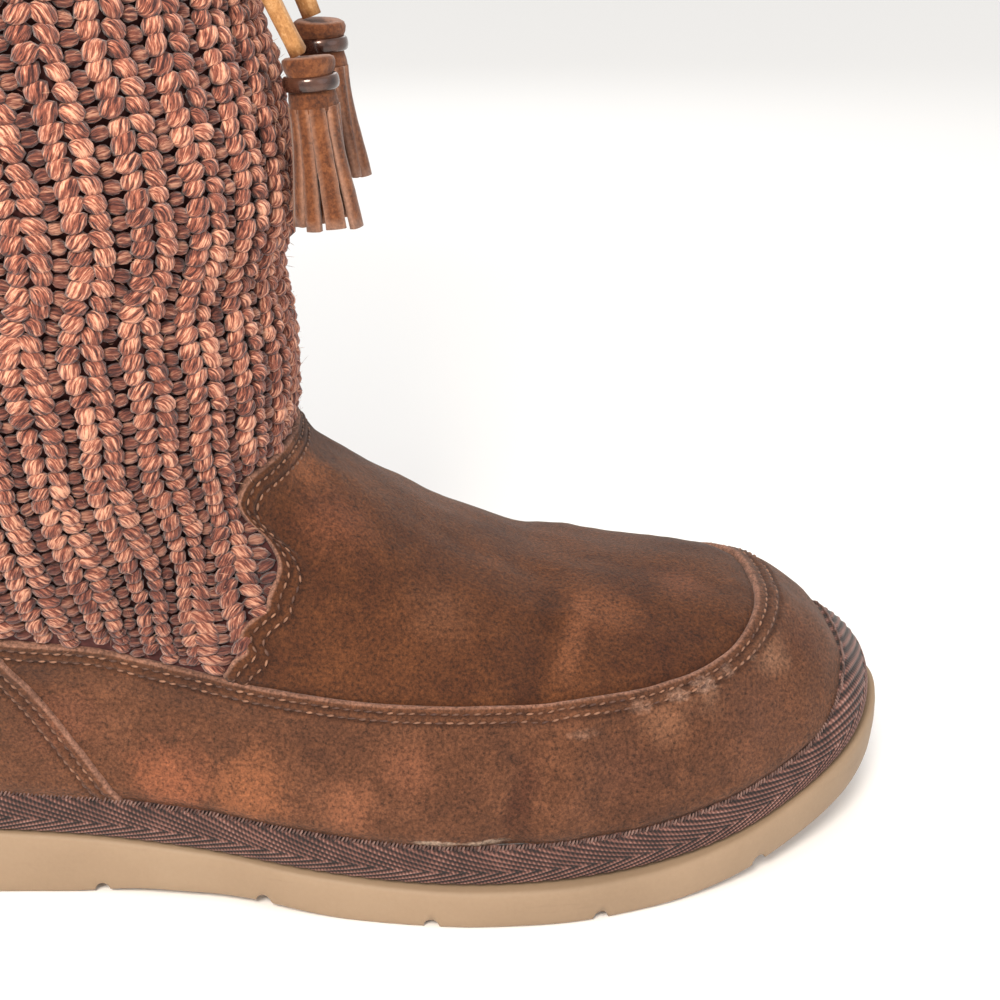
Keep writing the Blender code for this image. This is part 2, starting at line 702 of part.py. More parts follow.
def knit_outside(height, places, extra=0.0):
    """Points on the outside of the knit at one height, moved out by extra."""
    ankle = float(level(3.0, SHAFT_DEPTH))
    k = 3.0 + (height - ankle) / (HEIGHT - ankle)
    foot = surface(np.full(len(places), k), np.array(places))
    points = foot + normals(foot) * (LAY + KNIT_WALL + extra)
    points[:, 2] = height
    return points


def smooth_route(points, spacing):
    """Even points on a smooth curve through hand-chosen ones."""
    points = np.array(points, dtype=float)
    padded = np.concatenate([[2 * points[0] - points[1]], points, [2 * points[-1] - points[-2]]])
    fine = []
    for i in range(1, len(padded) - 2):
        p0, p1, p2, p3 = padded[i - 1:i + 3]
        for t in np.linspace(0, 1, 12, endpoint=False):
            fine.append(0.5 * (2 * p1 + (p2 - p0) * t + (2 * p0 - 5 * p1 + 4 * p2 - p3) * t ** 2
                               + (3 * p1 - p0 - 3 * p2 + p3) * t ** 3))
    fine.append(points[-1])
    fine = np.array(fine)
    run = np.concatenate([[0], np.cumsum(np.linalg.norm(np.diff(fine, axis=0), axis=1))])
    even = np.linspace(0, run[-1], max(int(round(run[-1] / spacing)), 4) + 1)
    return np.stack([np.interp(even, run, fine[:, i]) for i in range(3)], axis=-1)


def tube(name, points, material):
    """A thong as a curve with a round bevel and closed ends."""
    data = bpy.data.curves.new(name, "CURVE")
    data.dimensions = "3D"
    data.bevel_depth = THONG / 2
    data.bevel_resolution = 2
    data.use_fill_caps = True
    line = data.splines.new("POLY")
    line.points.add(len(points) - 1)
    for point, place_at in zip(line.points, points):
        point.co = (place_at[0] - HEEL_CENTRE, place_at[1], place_at[2], 1.0)
    data.materials.append(material)
    obj = bpy.data.objects.new(name, data)
    bpy.context.scene.collection.objects.link(obj)
    return obj


def knot_frame():
    """The knot's middle and its directions: out of the shaft and along it."""
    middle = knit_outside(THONG_HEIGHT, [KNOT_PLACE], KNOT_SEAT)[0]
    base = knit_outside(THONG_HEIGHT, [KNOT_PLACE])[0]
    out = middle - base
    out /= np.linalg.norm(out)
    along = np.array([out[1], -out[0], 0.0])
    return middle, out, along


def make_collar_thong(material):
    """The thong round the shaft; it stops at both sides of the knot."""
    middle, _, _ = knot_frame()
    places = np.linspace(KNOT_PLACE + 0.004, KNOT_PLACE + 0.996, 400)
    points = knit_outside(THONG_HEIGHT, places, 2 * GAP + THONG / 2)
    clear = KNOT_SIZE[0] / 2 + 0.0004
    kept = points[np.linalg.norm(points - middle, axis=1) > clear]
    route = np.concatenate([kept[:-8:8], kept[-1:]])
    tube("collar_thong", smooth_route(route, 2.5 * THONG), material)


def make_knot(material):
    """A tight knot, a rounded lump with a turn of thong pressed into it."""
    middle, out, along = knot_frame()
    up = np.array([0.0, 0.0, 1.0])
    points, faces = [], []
    rings, sides = 9, 14
    for i in range(rings):
        tilt = math.pi * i / (rings - 1)
        for j in range(sides):
            turn = 2 * math.pi * j / sides
            swell = 1.0 - 0.10 * math.cos(2 * turn + 2.4 * tilt)
            reach = math.sin(tilt) ** 0.85 * swell
            points.append(middle
                          + along * KNOT_SIZE[0] / 2 * reach * math.cos(turn) * 0.86
                          + out * KNOT_SIZE[1] / 2 * reach * math.sin(turn) * 0.90
                          + up * KNOT_SIZE[2] / 2 * math.cos(tilt) * 0.92)
    for i in range(rings - 1):
        for j in range(sides):
            n = (j + 1) % sides
            faces.append((i * sides + j, i * sides + n, (i + 1) * sides + n, (i + 1) * sides + j))
    return to_object("thong_knot", points, faces, material)


def tassel_axes(cord):
    """The tassel's frame: its top, its direction down, and two directions across."""
    top, tip = np.array(cord.top), np.array(cord.tip)
    down = (tip - top) / np.linalg.norm(tip - top)
    side = np.cross(down, (0.0, 1.0, 0.0))
    side /= np.linalg.norm(side)
    return top, down, side, np.cross(down, side)


Turned = namedtuple("Turned", "down radius")
TASSEL_PROFILE = [
    Turned(0.000, 0.62),
    Turned(0.030, 0.95),
    Turned(0.070, 1.00),
    Turned(0.100, 0.86),
    Turned(0.200, 0.84),
    Turned(0.260, 0.92),
    Turned(0.300, 0.80),
]


def make_tassel(name, cord, material):
    """A rolled suede tassel: turned head and core, with strips fused on."""
    top, down, side, cross = tassel_axes(cord)
    sides = 12
    rings = [(row.down * TASSEL_LENGTH, row.radius * TASSEL_HEAD) for row in TASSEL_PROFILE]
    rings += [(0.62 * TASSEL_LENGTH, TASSEL_NECK * 1.12), (0.965 * TASSEL_LENGTH, TASSEL_SPREAD * 0.84)]
    points, faces = [], []
    for reach, radius in rings:
        for j in range(sides):
            turn = 2 * math.pi * j / sides
            points.append(top + down * reach + (side * math.cos(turn) + cross * math.sin(turn)) * radius)
    for i in range(len(rings) - 1):
        for j in range(sides):
            n = (j + 1) % sides
            faces.append((i * sides + j, i * sides + n, (i + 1) * sides + n, (i + 1) * sides + j))
    faces.append(tuple(range(sides)))
    faces.append(tuple((len(rings) - 1) * sides + j for j in range(sides)))
    core = to_object(name, points, faces, material)
    strips = to_object(name + "_strips", *strip_mesh(top, down, side, cross), material)
    strips.hide_render = True
    strips.display_type = "WIRE"
    join = core.modifiers.new("strips", "BOOLEAN")
    join.object = strips
    join.operation = "UNION"
    join.solver = "EXACT"
    return core


def strip_mesh(top, down, side, cross):
    """Flat strips round the core, each a bent bar that widens to its end."""
    points, faces = [], []
    for strip in range(STRIPS):
        turn = 2 * math.pi * (strip + 0.5) / STRIPS
        out = side * math.cos(turn) + cross * math.sin(turn)
        wide = np.cross(down, out)
        length = TASSEL_LENGTH * (1.0 - 0.035 * ((strip * 7) % 3) / 2)
        start = len(points)
        rows = ((0.30 * TASSEL_LENGTH, TASSEL_NECK * 0.95), (0.62 * TASSEL_LENGTH, TASSEL_NECK * 1.14),
                (length, TASSEL_SPREAD * 0.90))
        for reach, radius in rows:
            half = 0.62 * math.pi * radius / STRIPS * 1.15
            for depth in (-STRIP_PROUD, STRIP_PROUD * 0.9):
                for way in (-1, 1):
                    points.append(top + down * reach + out * (radius + depth) + wide * half * way)
        for i in range(2):
            a = start + 4 * i
            for p, q in ((0, 1), (1, 3), (3, 2), (2, 0)):
                faces.append((a + p, a + q, a + 4 + q, a + 4 + p))
        faces.append((start, start + 2, start + 3, start + 1))
        end = start + 8
        faces.append((end, end + 1, end + 3, end + 2))
    return points, faces


def make_clip(name, cord, material):
    """A flat dark band bent round the tassel's neck, open at the back."""
    top, down, side, cross = tassel_axes(cord)
    inner = TASSEL_HEAD * 0.90 + GAP
    grid_out, grid_in = [], []
    turns = np.linspace(math.radians(-152), math.radians(152), 13)
    for rise, swell in ((-0.5, 0.55), (-0.3, 0.95), (0.3, 0.95), (0.5, 0.55)):
        row_out, row_in = [], []
        for turn in turns:
            out = side * -math.cos(turn) * 0.25 - cross * math.cos(turn) * 0.97 + side * math.sin(turn) * 0.97
            out = out - down * np.dot(out, down)
            out /= np.linalg.norm(out)
            middle = top + down * (CLIP_DROP - rise * CLIP_HEIGHT)
            row_in.append(middle + out * inner)
            row_out.append(middle + out * (inner + CLIP_THICK * swell))
        grid_out.append(row_out)
        grid_in.append(row_in)
    return shell(name, np.array(grid_out), np.array(grid_in), material, False)


def main():
    for obj in list(bpy.data.objects):
        bpy.data.objects.remove(obj, do_unlink=True)
    suede = leather("brown suede", (0.16, 0.06, 0.025), 0.9)
    make_outsole(leather("tan EVA foam", (0.50, 0.36, 0.24), 0.7))
    make_insole(leather("pale fleece", (0.62, 0.50, 0.36), 0.95))
    make_upper(leather("lined wall", (0.55, 0.42, 0.30), 0.9))
    make_tape(leather("brown twill tape", (0.09, 0.04, 0.035), 0.8))
    make_band("foxing", suede, False)
    make_band("heel_counter", suede, True)
    make_plug(suede)
    make_knit(leather("melange yarn", (0.38, 0.15, 0.10), 0.9))
    hide = leather("light tan leather", (0.62, 0.36, 0.13), 0.7)
    brown = leather("tassel suede", (0.25, 0.10, 0.04), 0.9)
    horn = leather("dark horn", (0.045, 0.02, 0.012), 0.25, 0.4)
    make_collar_thong(hide)
    make_knot(hide)
    middle, _, along = knot_frame()
    for (where, cord), way in zip(CORDS.items(), (1, -1)):
        start = middle + along * END_SIDE * way - np.array([0.0, 0.0, END_DROP])
        tube("thong_end_" + where, smooth_route([start] + cord.route, 2.4 * THONG), hide)
        make_tassel("tassel_" + where, cord, brown)
        make_clip("clip_" + where, cord, horn)


main()
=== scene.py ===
"""The looks of the mukluk boot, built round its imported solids.

Metres, +Z up, toe at +X. In the boot's own functions x runs from the heel's back, and a place round
the foot is 0 at the heel, 0.25 on the outer side, 0.5 at the toe and 0.75 on the inner side.
"""
from collections import namedtuple
import math

import bpy
from mathutils import Matrix, Vector
import numpy as np


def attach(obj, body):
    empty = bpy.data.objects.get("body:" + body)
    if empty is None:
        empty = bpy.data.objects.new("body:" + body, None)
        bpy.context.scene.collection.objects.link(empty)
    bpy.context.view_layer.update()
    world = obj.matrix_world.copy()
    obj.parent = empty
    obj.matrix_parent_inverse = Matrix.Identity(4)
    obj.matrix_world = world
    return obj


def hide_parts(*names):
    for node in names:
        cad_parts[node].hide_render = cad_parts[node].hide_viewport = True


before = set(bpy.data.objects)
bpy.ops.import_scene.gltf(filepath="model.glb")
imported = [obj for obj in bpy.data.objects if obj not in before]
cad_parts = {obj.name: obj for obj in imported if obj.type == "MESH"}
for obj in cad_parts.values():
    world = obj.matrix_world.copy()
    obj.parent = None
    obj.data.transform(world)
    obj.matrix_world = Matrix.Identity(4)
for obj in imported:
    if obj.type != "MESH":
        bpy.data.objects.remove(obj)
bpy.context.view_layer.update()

# Camera, found by matching the sole's edge, the seam and the outlines of the photo
CAMERA_AZIMUTH = -1.57
CAMERA_ELEVATION = 24.1
CAMERA_ROLL = -0.37
CAMERA_TARGET = (0.14393, 0.0, 0.07894)
CAMERA_DISTANCE = 0.32509
CAMERA_LENS = 50.4

# Driving sizes of the boot
LENGTH = 0.280            # outsole from heel to toe
BALL_WIDTH = 0.1038       # outsole across the ball
HEEL_WIDTH = 0.0745       # outsole across the heel
INSTEP_HEIGHT = 0.098     # floor to the upper's ridge where the shaft starts
HEIGHT = 0.340            # floor to the collar
SHAFT_DEPTH = 0.134       # shaft, front to back
SHAFT_WIDTH = 0.099       # shaft, side to side
SWING = 0.0055            # sideways swing of the foot's centre line
RIDGE_SIDE = 0.002        # the instep's ridge lies this far to the inner side
HEEL_CENTRE = 0.042       # heel's back to the origin

# Sole
SOLE_HEEL = 0.0175        # thickness at the heel
SOLE_BALL = 0.0095        # thickness at the ball
TOE_SPRING = 0.0150       # rise of the sole's underside at the toe tip
TOE_BUMPER = 0.0028       # how much thicker the sole is at the toe tip
ARCH_RISE = 0.0016        # rise of the underside at the arch
GROOVE_WIDTH = 0.0027     # cross grooves between the lugs
GROOVE_DEPTH = 0.0020
GROOVE_PITCH = 0.0375
GROOVE_SHIFT = 0.0100     # the row of grooves sits this far towards the toe

# Walls, panels and clearances
GAP = 0.0003              # between pieces that touch
LAY = 0.0008              # between the upper's facets and a panel that follows them
WALL = 0.0028             # lined wall of the upper
PANEL = 0.0016            # suede panels
UPPER_INSET = 0.0042      # upper's foot inside the sole's outline
TAPE_HEIGHT = 0.0105
TAPE_THICK = 0.0034       # at the tape's round middle
TAPE_EDGE = 0.0018        # at the tape's two edges
KNIT_WALL = 0.0040
COLLAR_TURN = 0.0140      # height of the knit's turned edge
COLLAR_STEP = 0.0012      # how far the turned edge stands proud
WIDEST = 0.0080           # height of the widest line above the sole
TUCK = 0.0300             # how slowly the wall tucks in below the widest line

# Thongs and tassels
THONG = 0.0038
THONG_HEIGHT = 0.300      # floor to the thong round the shaft
KNOT_PLACE = 0.42         # where the thong is tied, as a share round the shaft
KNOT_SEAT = 0.00370       # knot's middle over the knit
END_SIDE = 0.0022         # the two ends leave the knot this far to each side of its middle
END_DROP = 0.0050         # and this far below it
TASSEL_LENGTH = 0.0335
TASSEL_HEAD = 0.0052      # radius of the rolled top
TASSEL_SPREAD = 0.0064    # radius of the fringe's end
STRIPS = 9
CLIP_THICK = 0.0009
CLIP_HEIGHT = 0.0030
CLIP_DROP = 0.0048        # the clip's middle below the tassel's top

# How the foot and the shaft are rounded
COLUMNS = 42              # columns of the solids' own facets round the boot
BLEND = 13.0              # sharpness of the join between foot and shaft
SIDE_POWER = 2.6          # squareness of the foot's sections, sideways
TOP_POWER = 2.3           # and towards the ridge
SHAFT_POWER = 2.25

Station = namedtuple("Station", "along heel ball centre")
OUTLINE = [
    Station(0.000, 0.000, 0.000, 0.00),
    Station(0.012, 0.188, 0.000, 0.00),
    Station(0.040, 0.322, 0.000, 0.00),
    Station(0.080, 0.416, 0.000, 0.00),
    Station(0.140, 0.473, 0.000, -0.05),
    Station(0.220, 0.500, 0.000, -0.14),
    Station(0.320, 0.497, 0.000, -0.36),
    Station(0.420, 0.260, 0.182, -0.77),
    Station(0.508, 0.100, 0.347, -1.00),
    Station(0.585, 0.000, 0.465, -0.86),
    Station(0.645, 0.000, 0.491, -0.64),
    Station(0.706, 0.000, 0.500, -0.35),
    Station(0.778, 0.000, 0.479, 0.05),
    Station(0.846, 0.000, 0.429, 0.36),
    Station(0.904, 0.000, 0.352, 0.64),
    Station(0.952, 0.000, 0.260, 0.82),
    Station(0.984, 0.000, 0.149, 1.00),
    Station(1.000, 0.000, 0.000, 1.27),
]

Ridge = namedtuple("Ridge", "along height")
RIDGE = [
    Ridge(0.00, 0.80),
    Ridge(0.10, 1.02),
    Ridge(0.30, 1.10),
    Ridge(0.42, 1.07),
    Ridge(0.504, 0.922),
    Ridge(0.564, 0.808),
    Ridge(0.614, 0.722),
    Ridge(0.664, 0.664),
    Ridge(0.714, 0.626),
    Ridge(0.764, 0.602),
    Ridge(0.814, 0.590),
    Ridge(0.864, 0.568),
    Ridge(0.900, 0.538),
    Ridge(0.925, 0.492),
    Ridge(0.943, 0.430),
    Ridge(0.955, 0.365),
    Ridge(0.972, 0.300),
    Ridge(1.000, 0.290),
]

Section = namedtuple("Section", "up front back width")
SHAFT = [
    Section(0.000, 0.740, 0.100, 0.270),
    Section(0.090, 0.840, 0.070, 0.310),
    Section(0.170, 0.910, 0.040, 0.375),
    Section(0.240, 0.945, 0.068, 0.415),
    Section(0.300, 0.975, 0.075, 0.445),
    Section(0.345, 0.985, 0.075, 0.462),
    Section(0.395, 0.973, 0.072, 0.474),
    Section(0.450, 1.006, 0.062, 0.487),
    Section(0.510, 0.988, 0.045, 0.492),
    Section(0.560, 0.963, 0.038, 0.498),
    Section(0.620, 0.968, 0.030, 0.505),
    Section(0.720, 0.990, 0.016, 0.512),
    Section(0.830, 1.005, 0.010, 0.520),
    Section(0.900, 0.998, 0.008, 0.518),
    Section(1.000, 1.010, 0.000, 0.530),
]

Seam = namedtuple("Seam", "along height")
SEAM = [
    Seam(0.000, 0.800),
    Seam(0.120, 0.775),
    Seam(0.220, 0.730),
    Seam(0.290, 0.690),
    Seam(0.340, 0.655),
    Seam(0.393, 0.603),
    Seam(0.464, 0.555),
    Seam(0.554, 0.516),
    Seam(0.643, 0.492),
    Seam(0.704, 0.484),
    Seam(0.757, 0.484),
    Seam(0.800, 0.494),
    Seam(0.839, 0.515),
    Seam(0.870, 0.550),
    Seam(0.920, 0.625),
    Seam(1.000, 0.730),
]

Edge = namedtuple("Edge", "along height")
PLUG_REAR = [
    Edge(0.469, 0.965),
    Edge(0.461, 0.925),
    Edge(0.468, 0.880),
    Edge(0.487, 0.825),
    Edge(0.499, 0.765),
    Edge(0.496, 0.705),
    Edge(0.484, 0.645),
    Edge(0.468, 0.592),
]
PLUG_TOP = 0.494          # where the plug's rear edge crosses the ridge, along
COUNTER_TOP = 0.278       # counter's front edge at the seam, along
COUNTER_FOOT = 0.362      # and at the tape

Level = namedtuple("Level", "heel toe")
ANKLE = Level(0.90, 1.30)   # line through the ankle, in instep heights

Cord = namedtuple("Cord", "route top tip")
CORDS = {
    "front": Cord(
        [(0.1302, -0.0412, 0.2820), (0.1310, -0.0402, 0.2720),
         (0.1318, -0.0380, 0.2610), (0.1325, -0.0352, 0.2500), (0.1333, -0.0322, 0.2390),
         (0.1345, -0.0290, 0.2280), (0.1362, -0.0256, 0.2170), (0.1380, -0.0222, 0.2070),
         (0.1402, -0.0185, 0.1980), (0.1432, -0.0150, 0.1895), (0.1470, -0.0122, 0.1803)],
        (0.1487, -0.0118, 0.1795), (0.1510, -0.0112, 0.1460)),
    "side": Cord(
        [(0.1385, -0.0310, 0.2840), (0.1410, -0.0262, 0.2740),
         (0.1428, -0.0208, 0.2640), (0.1440, -0.0150, 0.2540), (0.1446, -0.0092, 0.2440),
         (0.1446, -0.0035, 0.2340), (0.1440, 0.0018, 0.2235), (0.1432, 0.0062, 0.2130),
         (0.1433, 0.0092, 0.2030), (0.1450, 0.0105, 0.1935), (0.1478, 0.0108, 0.1850)],
        (0.1492, 0.0108, 0.1842), (0.1508, 0.0108, 0.1507)),
}

# How the points round a loop are shared between heel, sides and toe
HEEL_FAN = 0.095
TOE_FAN = 0.150
HEEL_RADIUS = 0.034
TOE_RADIUS = 0.045
SHAFT_RADIUS = 0.047


def slopes(xs, ys):
    """Slopes of a smooth curve through the rows of a table that never overshoots."""
    steps = np.diff(ys) / np.diff(xs)
    out = np.zeros(len(xs))
    out[0] = steps[0]
    out[-1] = steps[-1]
    for i in range(1, len(xs) - 1):
        if steps[i - 1] * steps[i] > 0:
            out[i] = 2 * steps[i - 1] * steps[i] / (steps[i - 1] + steps[i])
    return out


def curve(rows, column, scale=1.0):
    """A smooth function through one column of a table whose first column runs along."""
    xs = np.array([row[0] for row in rows], dtype=float)
    ys = np.array([getattr(row, column) for row in rows], dtype=float) * scale
    tangents = slopes(xs, ys)

    def value(s):
        s = np.clip(np.asarray(s, dtype=float), xs[0], xs[-1])
        i = np.clip(np.searchsorted(xs, s, side="right") - 1, 0, len(xs) - 2)
        h = xs[i + 1] - xs[i]
        t = (s - xs[i]) / h
        a = (1 + 2 * t) * (1 - t) ** 2 * ys[i] + t * (1 - t) ** 2 * h * tangents[i]
        b = t ** 2 * (3 - 2 * t) * ys[i + 1] + t ** 2 * (t - 1) * h * tangents[i + 1]
        return a + b
    return value


def smoothstep(t):
    t = np.clip(t, 0.0, 1.0)
    return t * t * (3 - 2 * t)


def squared_width(rows):
    """Half width as the root of a smooth curve, which closes both ends in a round."""
    widths = [row.heel * HEEL_WIDTH + row.ball * BALL_WIDTH for row in rows]
    Width = namedtuple("Width", "along square")
    square = curve([Width(row.along, w * w) for row, w in zip(rows, widths)], "square")
    return lambda s: np.sqrt(np.maximum(square(s), 0.0))


half_width = squared_width(OUTLINE)
centre_line = curve(OUTLINE, "centre", SWING)
ridge_height = curve(RIDGE, "height", INSTEP_HEIGHT)
seam_height = curve(SEAM, "height", INSTEP_HEIGHT)
shaft_front = curve(SHAFT, "front", SHAFT_DEPTH)
shaft_back = curve(SHAFT, "back", SHAFT_DEPTH)
shaft_side = curve(SHAFT, "width", SHAFT_WIDTH)
SHAFT_SET = 0.0035        # the shaft's back line ahead of the sole's back


def sole_bottom(x):
    """Height of the sole's underside: flat heel and ball, slight arch, toe spring."""
    s = np.asarray(x) / LENGTH
    toe = TOE_SPRING * np.clip((s - 0.75) / 0.25, 0, None) ** 2
    arch = ARCH_RISE * smoothstep((s - 0.30) / 0.08) * smoothstep((0.54 - s) / 0.08)
    return toe + arch


def sole_top(x):
    s = np.asarray(x) / LENGTH
    spring = (TOE_SPRING + TOE_BUMPER) * np.clip((s - 0.75) / 0.25, 0, None) ** 2
    thick = SOLE_BALL + (SOLE_HEEL - SOLE_BALL) * smoothstep((0.64 - s) / 0.50)
    return spring + thick


def widest_line(x):
    """Height of the wall's widest line above the sole; it comes down round the toe."""
    return WIDEST * (1 - smoothstep((np.asarray(x) / LENGTH - 0.80) / 0.14)) + GAP


def form(x, y, z):
    """Below 1 inside the upper's outer surface and above 1 outside; x runs from the heel's back."""
    inner = LENGTH - 2 * UPPER_INSET
    s = np.clip((x - UPPER_INSET) / inner, 0.0, 1.0)
    past = np.maximum(np.maximum(UPPER_INSET - x, x - LENGTH + UPPER_INSET), 0.0)
    shrink = 1 - 2 * UPPER_INSET / BALL_WIDTH
    width = np.maximum(half_width(s) * shrink, 0.0012)
    low = sole_top(x) + widest_line(x)
    top = np.maximum(ridge_height(x / LENGTH), low + 0.003)
    rise = (z - low) / (top - low)
    down = (low - z) / TUCK
    v = np.where(z > low, rise, down)
    lift = smoothstep(np.clip(rise, 0, 1))
    middle = centre_line(s) * (1 - lift) + RIDGE_SIDE * lift
    u = np.abs(y - middle) / width
    foot = (u ** SIDE_POWER + np.maximum(v, 0) ** TOP_POWER) ** (2 / (SIDE_POWER + TOP_POWER)) + past / 0.004
    up = z / HEIGHT
    front = shaft_front(up) + SHAFT_SET
    back = shaft_back(up) + SHAFT_SET
    middle_x = (front + back) / 2
    p = np.abs(x - middle_x) / ((front - back) / 2)
    q = np.abs(y) / shaft_side(up)
    shaft = (p ** SHAFT_POWER + q ** SHAFT_POWER) ** (1 / SHAFT_POWER)
    foot = np.maximum(foot, 0.05)
    shaft = np.maximum(shaft, 0.05)
    return (foot ** -BLEND + shaft ** -BLEND) ** (-1 / BLEND)


def level(k, x):
    """Height over x of loop k: 0 sole, 1 tape's top, 2 seam, 3 ankle, 4 collar."""
    k = np.asarray(k, dtype=float)
    s = x / LENGTH
    base = sole_top(x) + GAP
    tape = sole_top(x) + GAP + TAPE_HEIGHT
    seam = seam_height(s)
    ankle = INSTEP_HEIGHT * (ANKLE.heel + (ANKLE.toe - ANKLE.heel) * s)
    collar = HEIGHT + 0 * s
    out = np.where(k < 1, base + (tape - base) * k, tape + (seam - tape) * (k - 1))
    out = np.where(k < 2, out, seam + (ankle - seam) * (k - 2))
    return np.where(k < 3, out, ankle + (collar - ankle) * (k - 3))


def bisect(inside, outside, test):
    for _ in range(44):
        middle = (inside + outside) / 2
        within = test(middle)
        inside = np.where(within, middle, inside)
        outside = np.where(within, outside, middle)
    return (inside + outside) / 2


def surface(k, a):
    """Points of the form on loops k at places a: 0 heel, 0.25 outer side, 0.5 toe, 0.75 inner side."""
    k, a = np.broadcast_arrays(np.asarray(k, dtype=float), np.asarray(a, dtype=float))
    a = np.mod(a, 1.0)
    start = np.full(k.shape, 0.075)
    front = bisect(start, start * 0 + LENGTH, lambda x: form(x, 0 * x, level(k, x)) < 1)
    back = bisect(start, start * 0 - 0.01, lambda x: form(x, 0 * x, level(k, x)) < 1)
    rise = smoothstep((k - 2.0) / 1.0)
    rear = back + HEEL_RADIUS + (SHAFT_RADIUS - HEEL_RADIUS) * rise
    fore = front - TOE_RADIUS
    t = np.where(a < 0.5, a, 1 - a)
    side = np.where(a < 0.5, -1.0, 1.0)
    heel_turn = np.clip(t / HEEL_FAN, 0, 1) * math.pi / 2
    toe_turn = np.clip((t - 0.5 + TOE_FAN) / TOE_FAN, 0, 1) * math.pi / 2
    along = np.clip((t - HEEL_FAN) / (0.5 - TOE_FAN - HEEL_FAN), 0, 1)
    dx = -np.cos(heel_turn) + np.sin(toe_turn)
    dy = side * np.sin(heel_turn) * np.cos(toe_turn)
    ox = rear + (fore - rear) * along
    oy = centre_line(np.clip(ox / LENGTH, 0, 1)) * (1 - rise)
    reach = bisect(0 * ox, 0 * ox + 0.14, lambda r: form(ox + r * dx, oy + r * dy, level(k, ox + r * dx)) < 1)
    return np.stack([ox + reach * dx, oy + reach * dy, level(k, ox + reach * dx)], axis=-1)


def normals(points, step=0.0002):
    x, y, z = points[..., 0], points[..., 1], points[..., 2]
    gx = form(x + step, y, z) - form(x - step, y, z)
    gy = form(x, y + step, z) - form(x, y - step, z)
    gz = form(x, y, z + step) - form(x, y, z - step)
    g = np.stack([gx, gy, gz], axis=-1)
    return g / np.linalg.norm(g, axis=-1, keepdims=True)


def loop_at(x, z):
    """The loop whose height over x is z."""
    knots = np.array([float(level(k, x)) for k in (0, 1, 2, 3, 4)])
    return float(np.interp(z, knots, [0, 1, 2, 3, 4]))


def place(along, height, inner=False):
    """Loop and place round it of a point given in the side view."""
    x = along * LENGTH
    k = loop_at(x, height)
    a = np.linspace(0.0, 0.5, 241)
    reach = surface(np.full(a.shape, k), a)[:, 0]
    at = float(np.interp(x, reach, a))
    return k, (1 - at if inner else at)


def diagonal(share, inner):
    """Place round the loop of the counter's front edge, share 0 at the tape and 1 at the seam."""
    along = COUNTER_FOOT + (COUNTER_TOP - COUNTER_FOOT) * share
    x = along * LENGTH
    low = float(level(1.0, x))
    high = float(level(2.0, x))
    return place(along, low + (high - low) * share, inner)


KNIT_FOOT = 2.004         # loop of the knit's lower edge, just over the seam
KNIT_SPLIT = 10 / COLUMNS   # knit columns before this place start at the band, not at the plug
MAP_SCALE = np.array([0.045, 0.55])   # metres on the instep for one loop, and for once round


def rear_edge(count, shift=0.0):
    """The plug's rear edge as loops and places, from the outer corner over the ridge to the inner one.

    Shift moves it on the surface, in metres: rearwards and up when positive.
    """
    k_top = loop_at(PLUG_TOP * LENGTH, 0.985 * INSTEP_HEIGHT)
    outer = [(k_top, 0.5)]
    for row in PLUG_REAR:
        outer.append(place(row.along, row.height * INSTEP_HEIGHT))
    corner = PLUG_REAR[-1].along - 0.012
    outer.append(place(corner, float(level(2.0, corner * LENGTH))))
    outer = np.array(outer[::-1])
    inner = outer[::-1][1:].copy()
    inner[:, 1] = 1 - inner[:, 1]
    both = np.concatenate([outer, inner]) * MAP_SCALE
    run = np.concatenate([[0], np.cumsum(np.linalg.norm(np.diff(both, axis=0), axis=1))])
    Row = namedtuple("Row", "at k a")
    rows = [Row(r, p[0], p[1]) for r, p in zip(run, both)]
    even = np.linspace(0, run[-1], count)
    points = np.stack([curve(rows, "k")(even), curve(rows, "a")(even)], axis=-1)
    tangent = np.gradient(points, axis=0)
    tangent /= np.linalg.norm(tangent, axis=1, keepdims=True)
    across = np.stack([tangent[:, 1], -tangent[:, 0]], axis=-1)
    moved = (points + across * shift) / MAP_SCALE
    return moved[:, 0], moved[:, 1]


def knit_outside(height, places, extra=0.0):
    """Points on the outside of the knit at one height, moved out by extra."""
    ankle = float(level(3.0, SHAFT_DEPTH))
    k = 3.0 + (height - ankle) / (HEIGHT - ankle)
    foot = surface(np.full(len(places), k), np.array(places))
    points = foot + normals(foot) * (LAY + KNIT_WALL + extra)
    points[:, 2] = height
    return points


def smooth_route(points, spacing):
    """Even points on a smooth curve through given ones."""
    points = np.array(points, dtype=float)
    padded = np.concatenate([[2 * points[0] - points[1]], points, [2 * points[-1] - points[-2]]])
    fine = []
    for i in range(1, len(padded) - 2):
        p0, p1, p2, p3 = padded[i - 1:i + 3]
        for t in np.linspace(0, 1, 12, endpoint=False):
            fine.append(0.5 * (2 * p1 + (p2 - p0) * t + (2 * p0 - 5 * p1 + 4 * p2 - p3) * t ** 2
                               + (3 * p1 - p0 - 3 * p2 + p3) * t ** 3))
    fine.append(points[-1])
    fine = np.array(fine)
    run = np.concatenate([[0], np.cumsum(np.linalg.norm(np.diff(fine, axis=0), axis=1))])
    even = np.linspace(0, run[-1], max(int(round(run[-1] / spacing)), 4) + 1)
    return points_along(even, run, fine)


# Tools for nodes, meshes and lines
def hexed(text):
    """An sRGB hex colour as linear values."""
    values = [int(text[i:i + 2], 16) / 255 for i in (1, 3, 5)]
    return tuple(v / 12.92 if v <= 0.04045 else ((v + 0.055) / 1.055) ** 2.4 for v in values) + (1.0,)


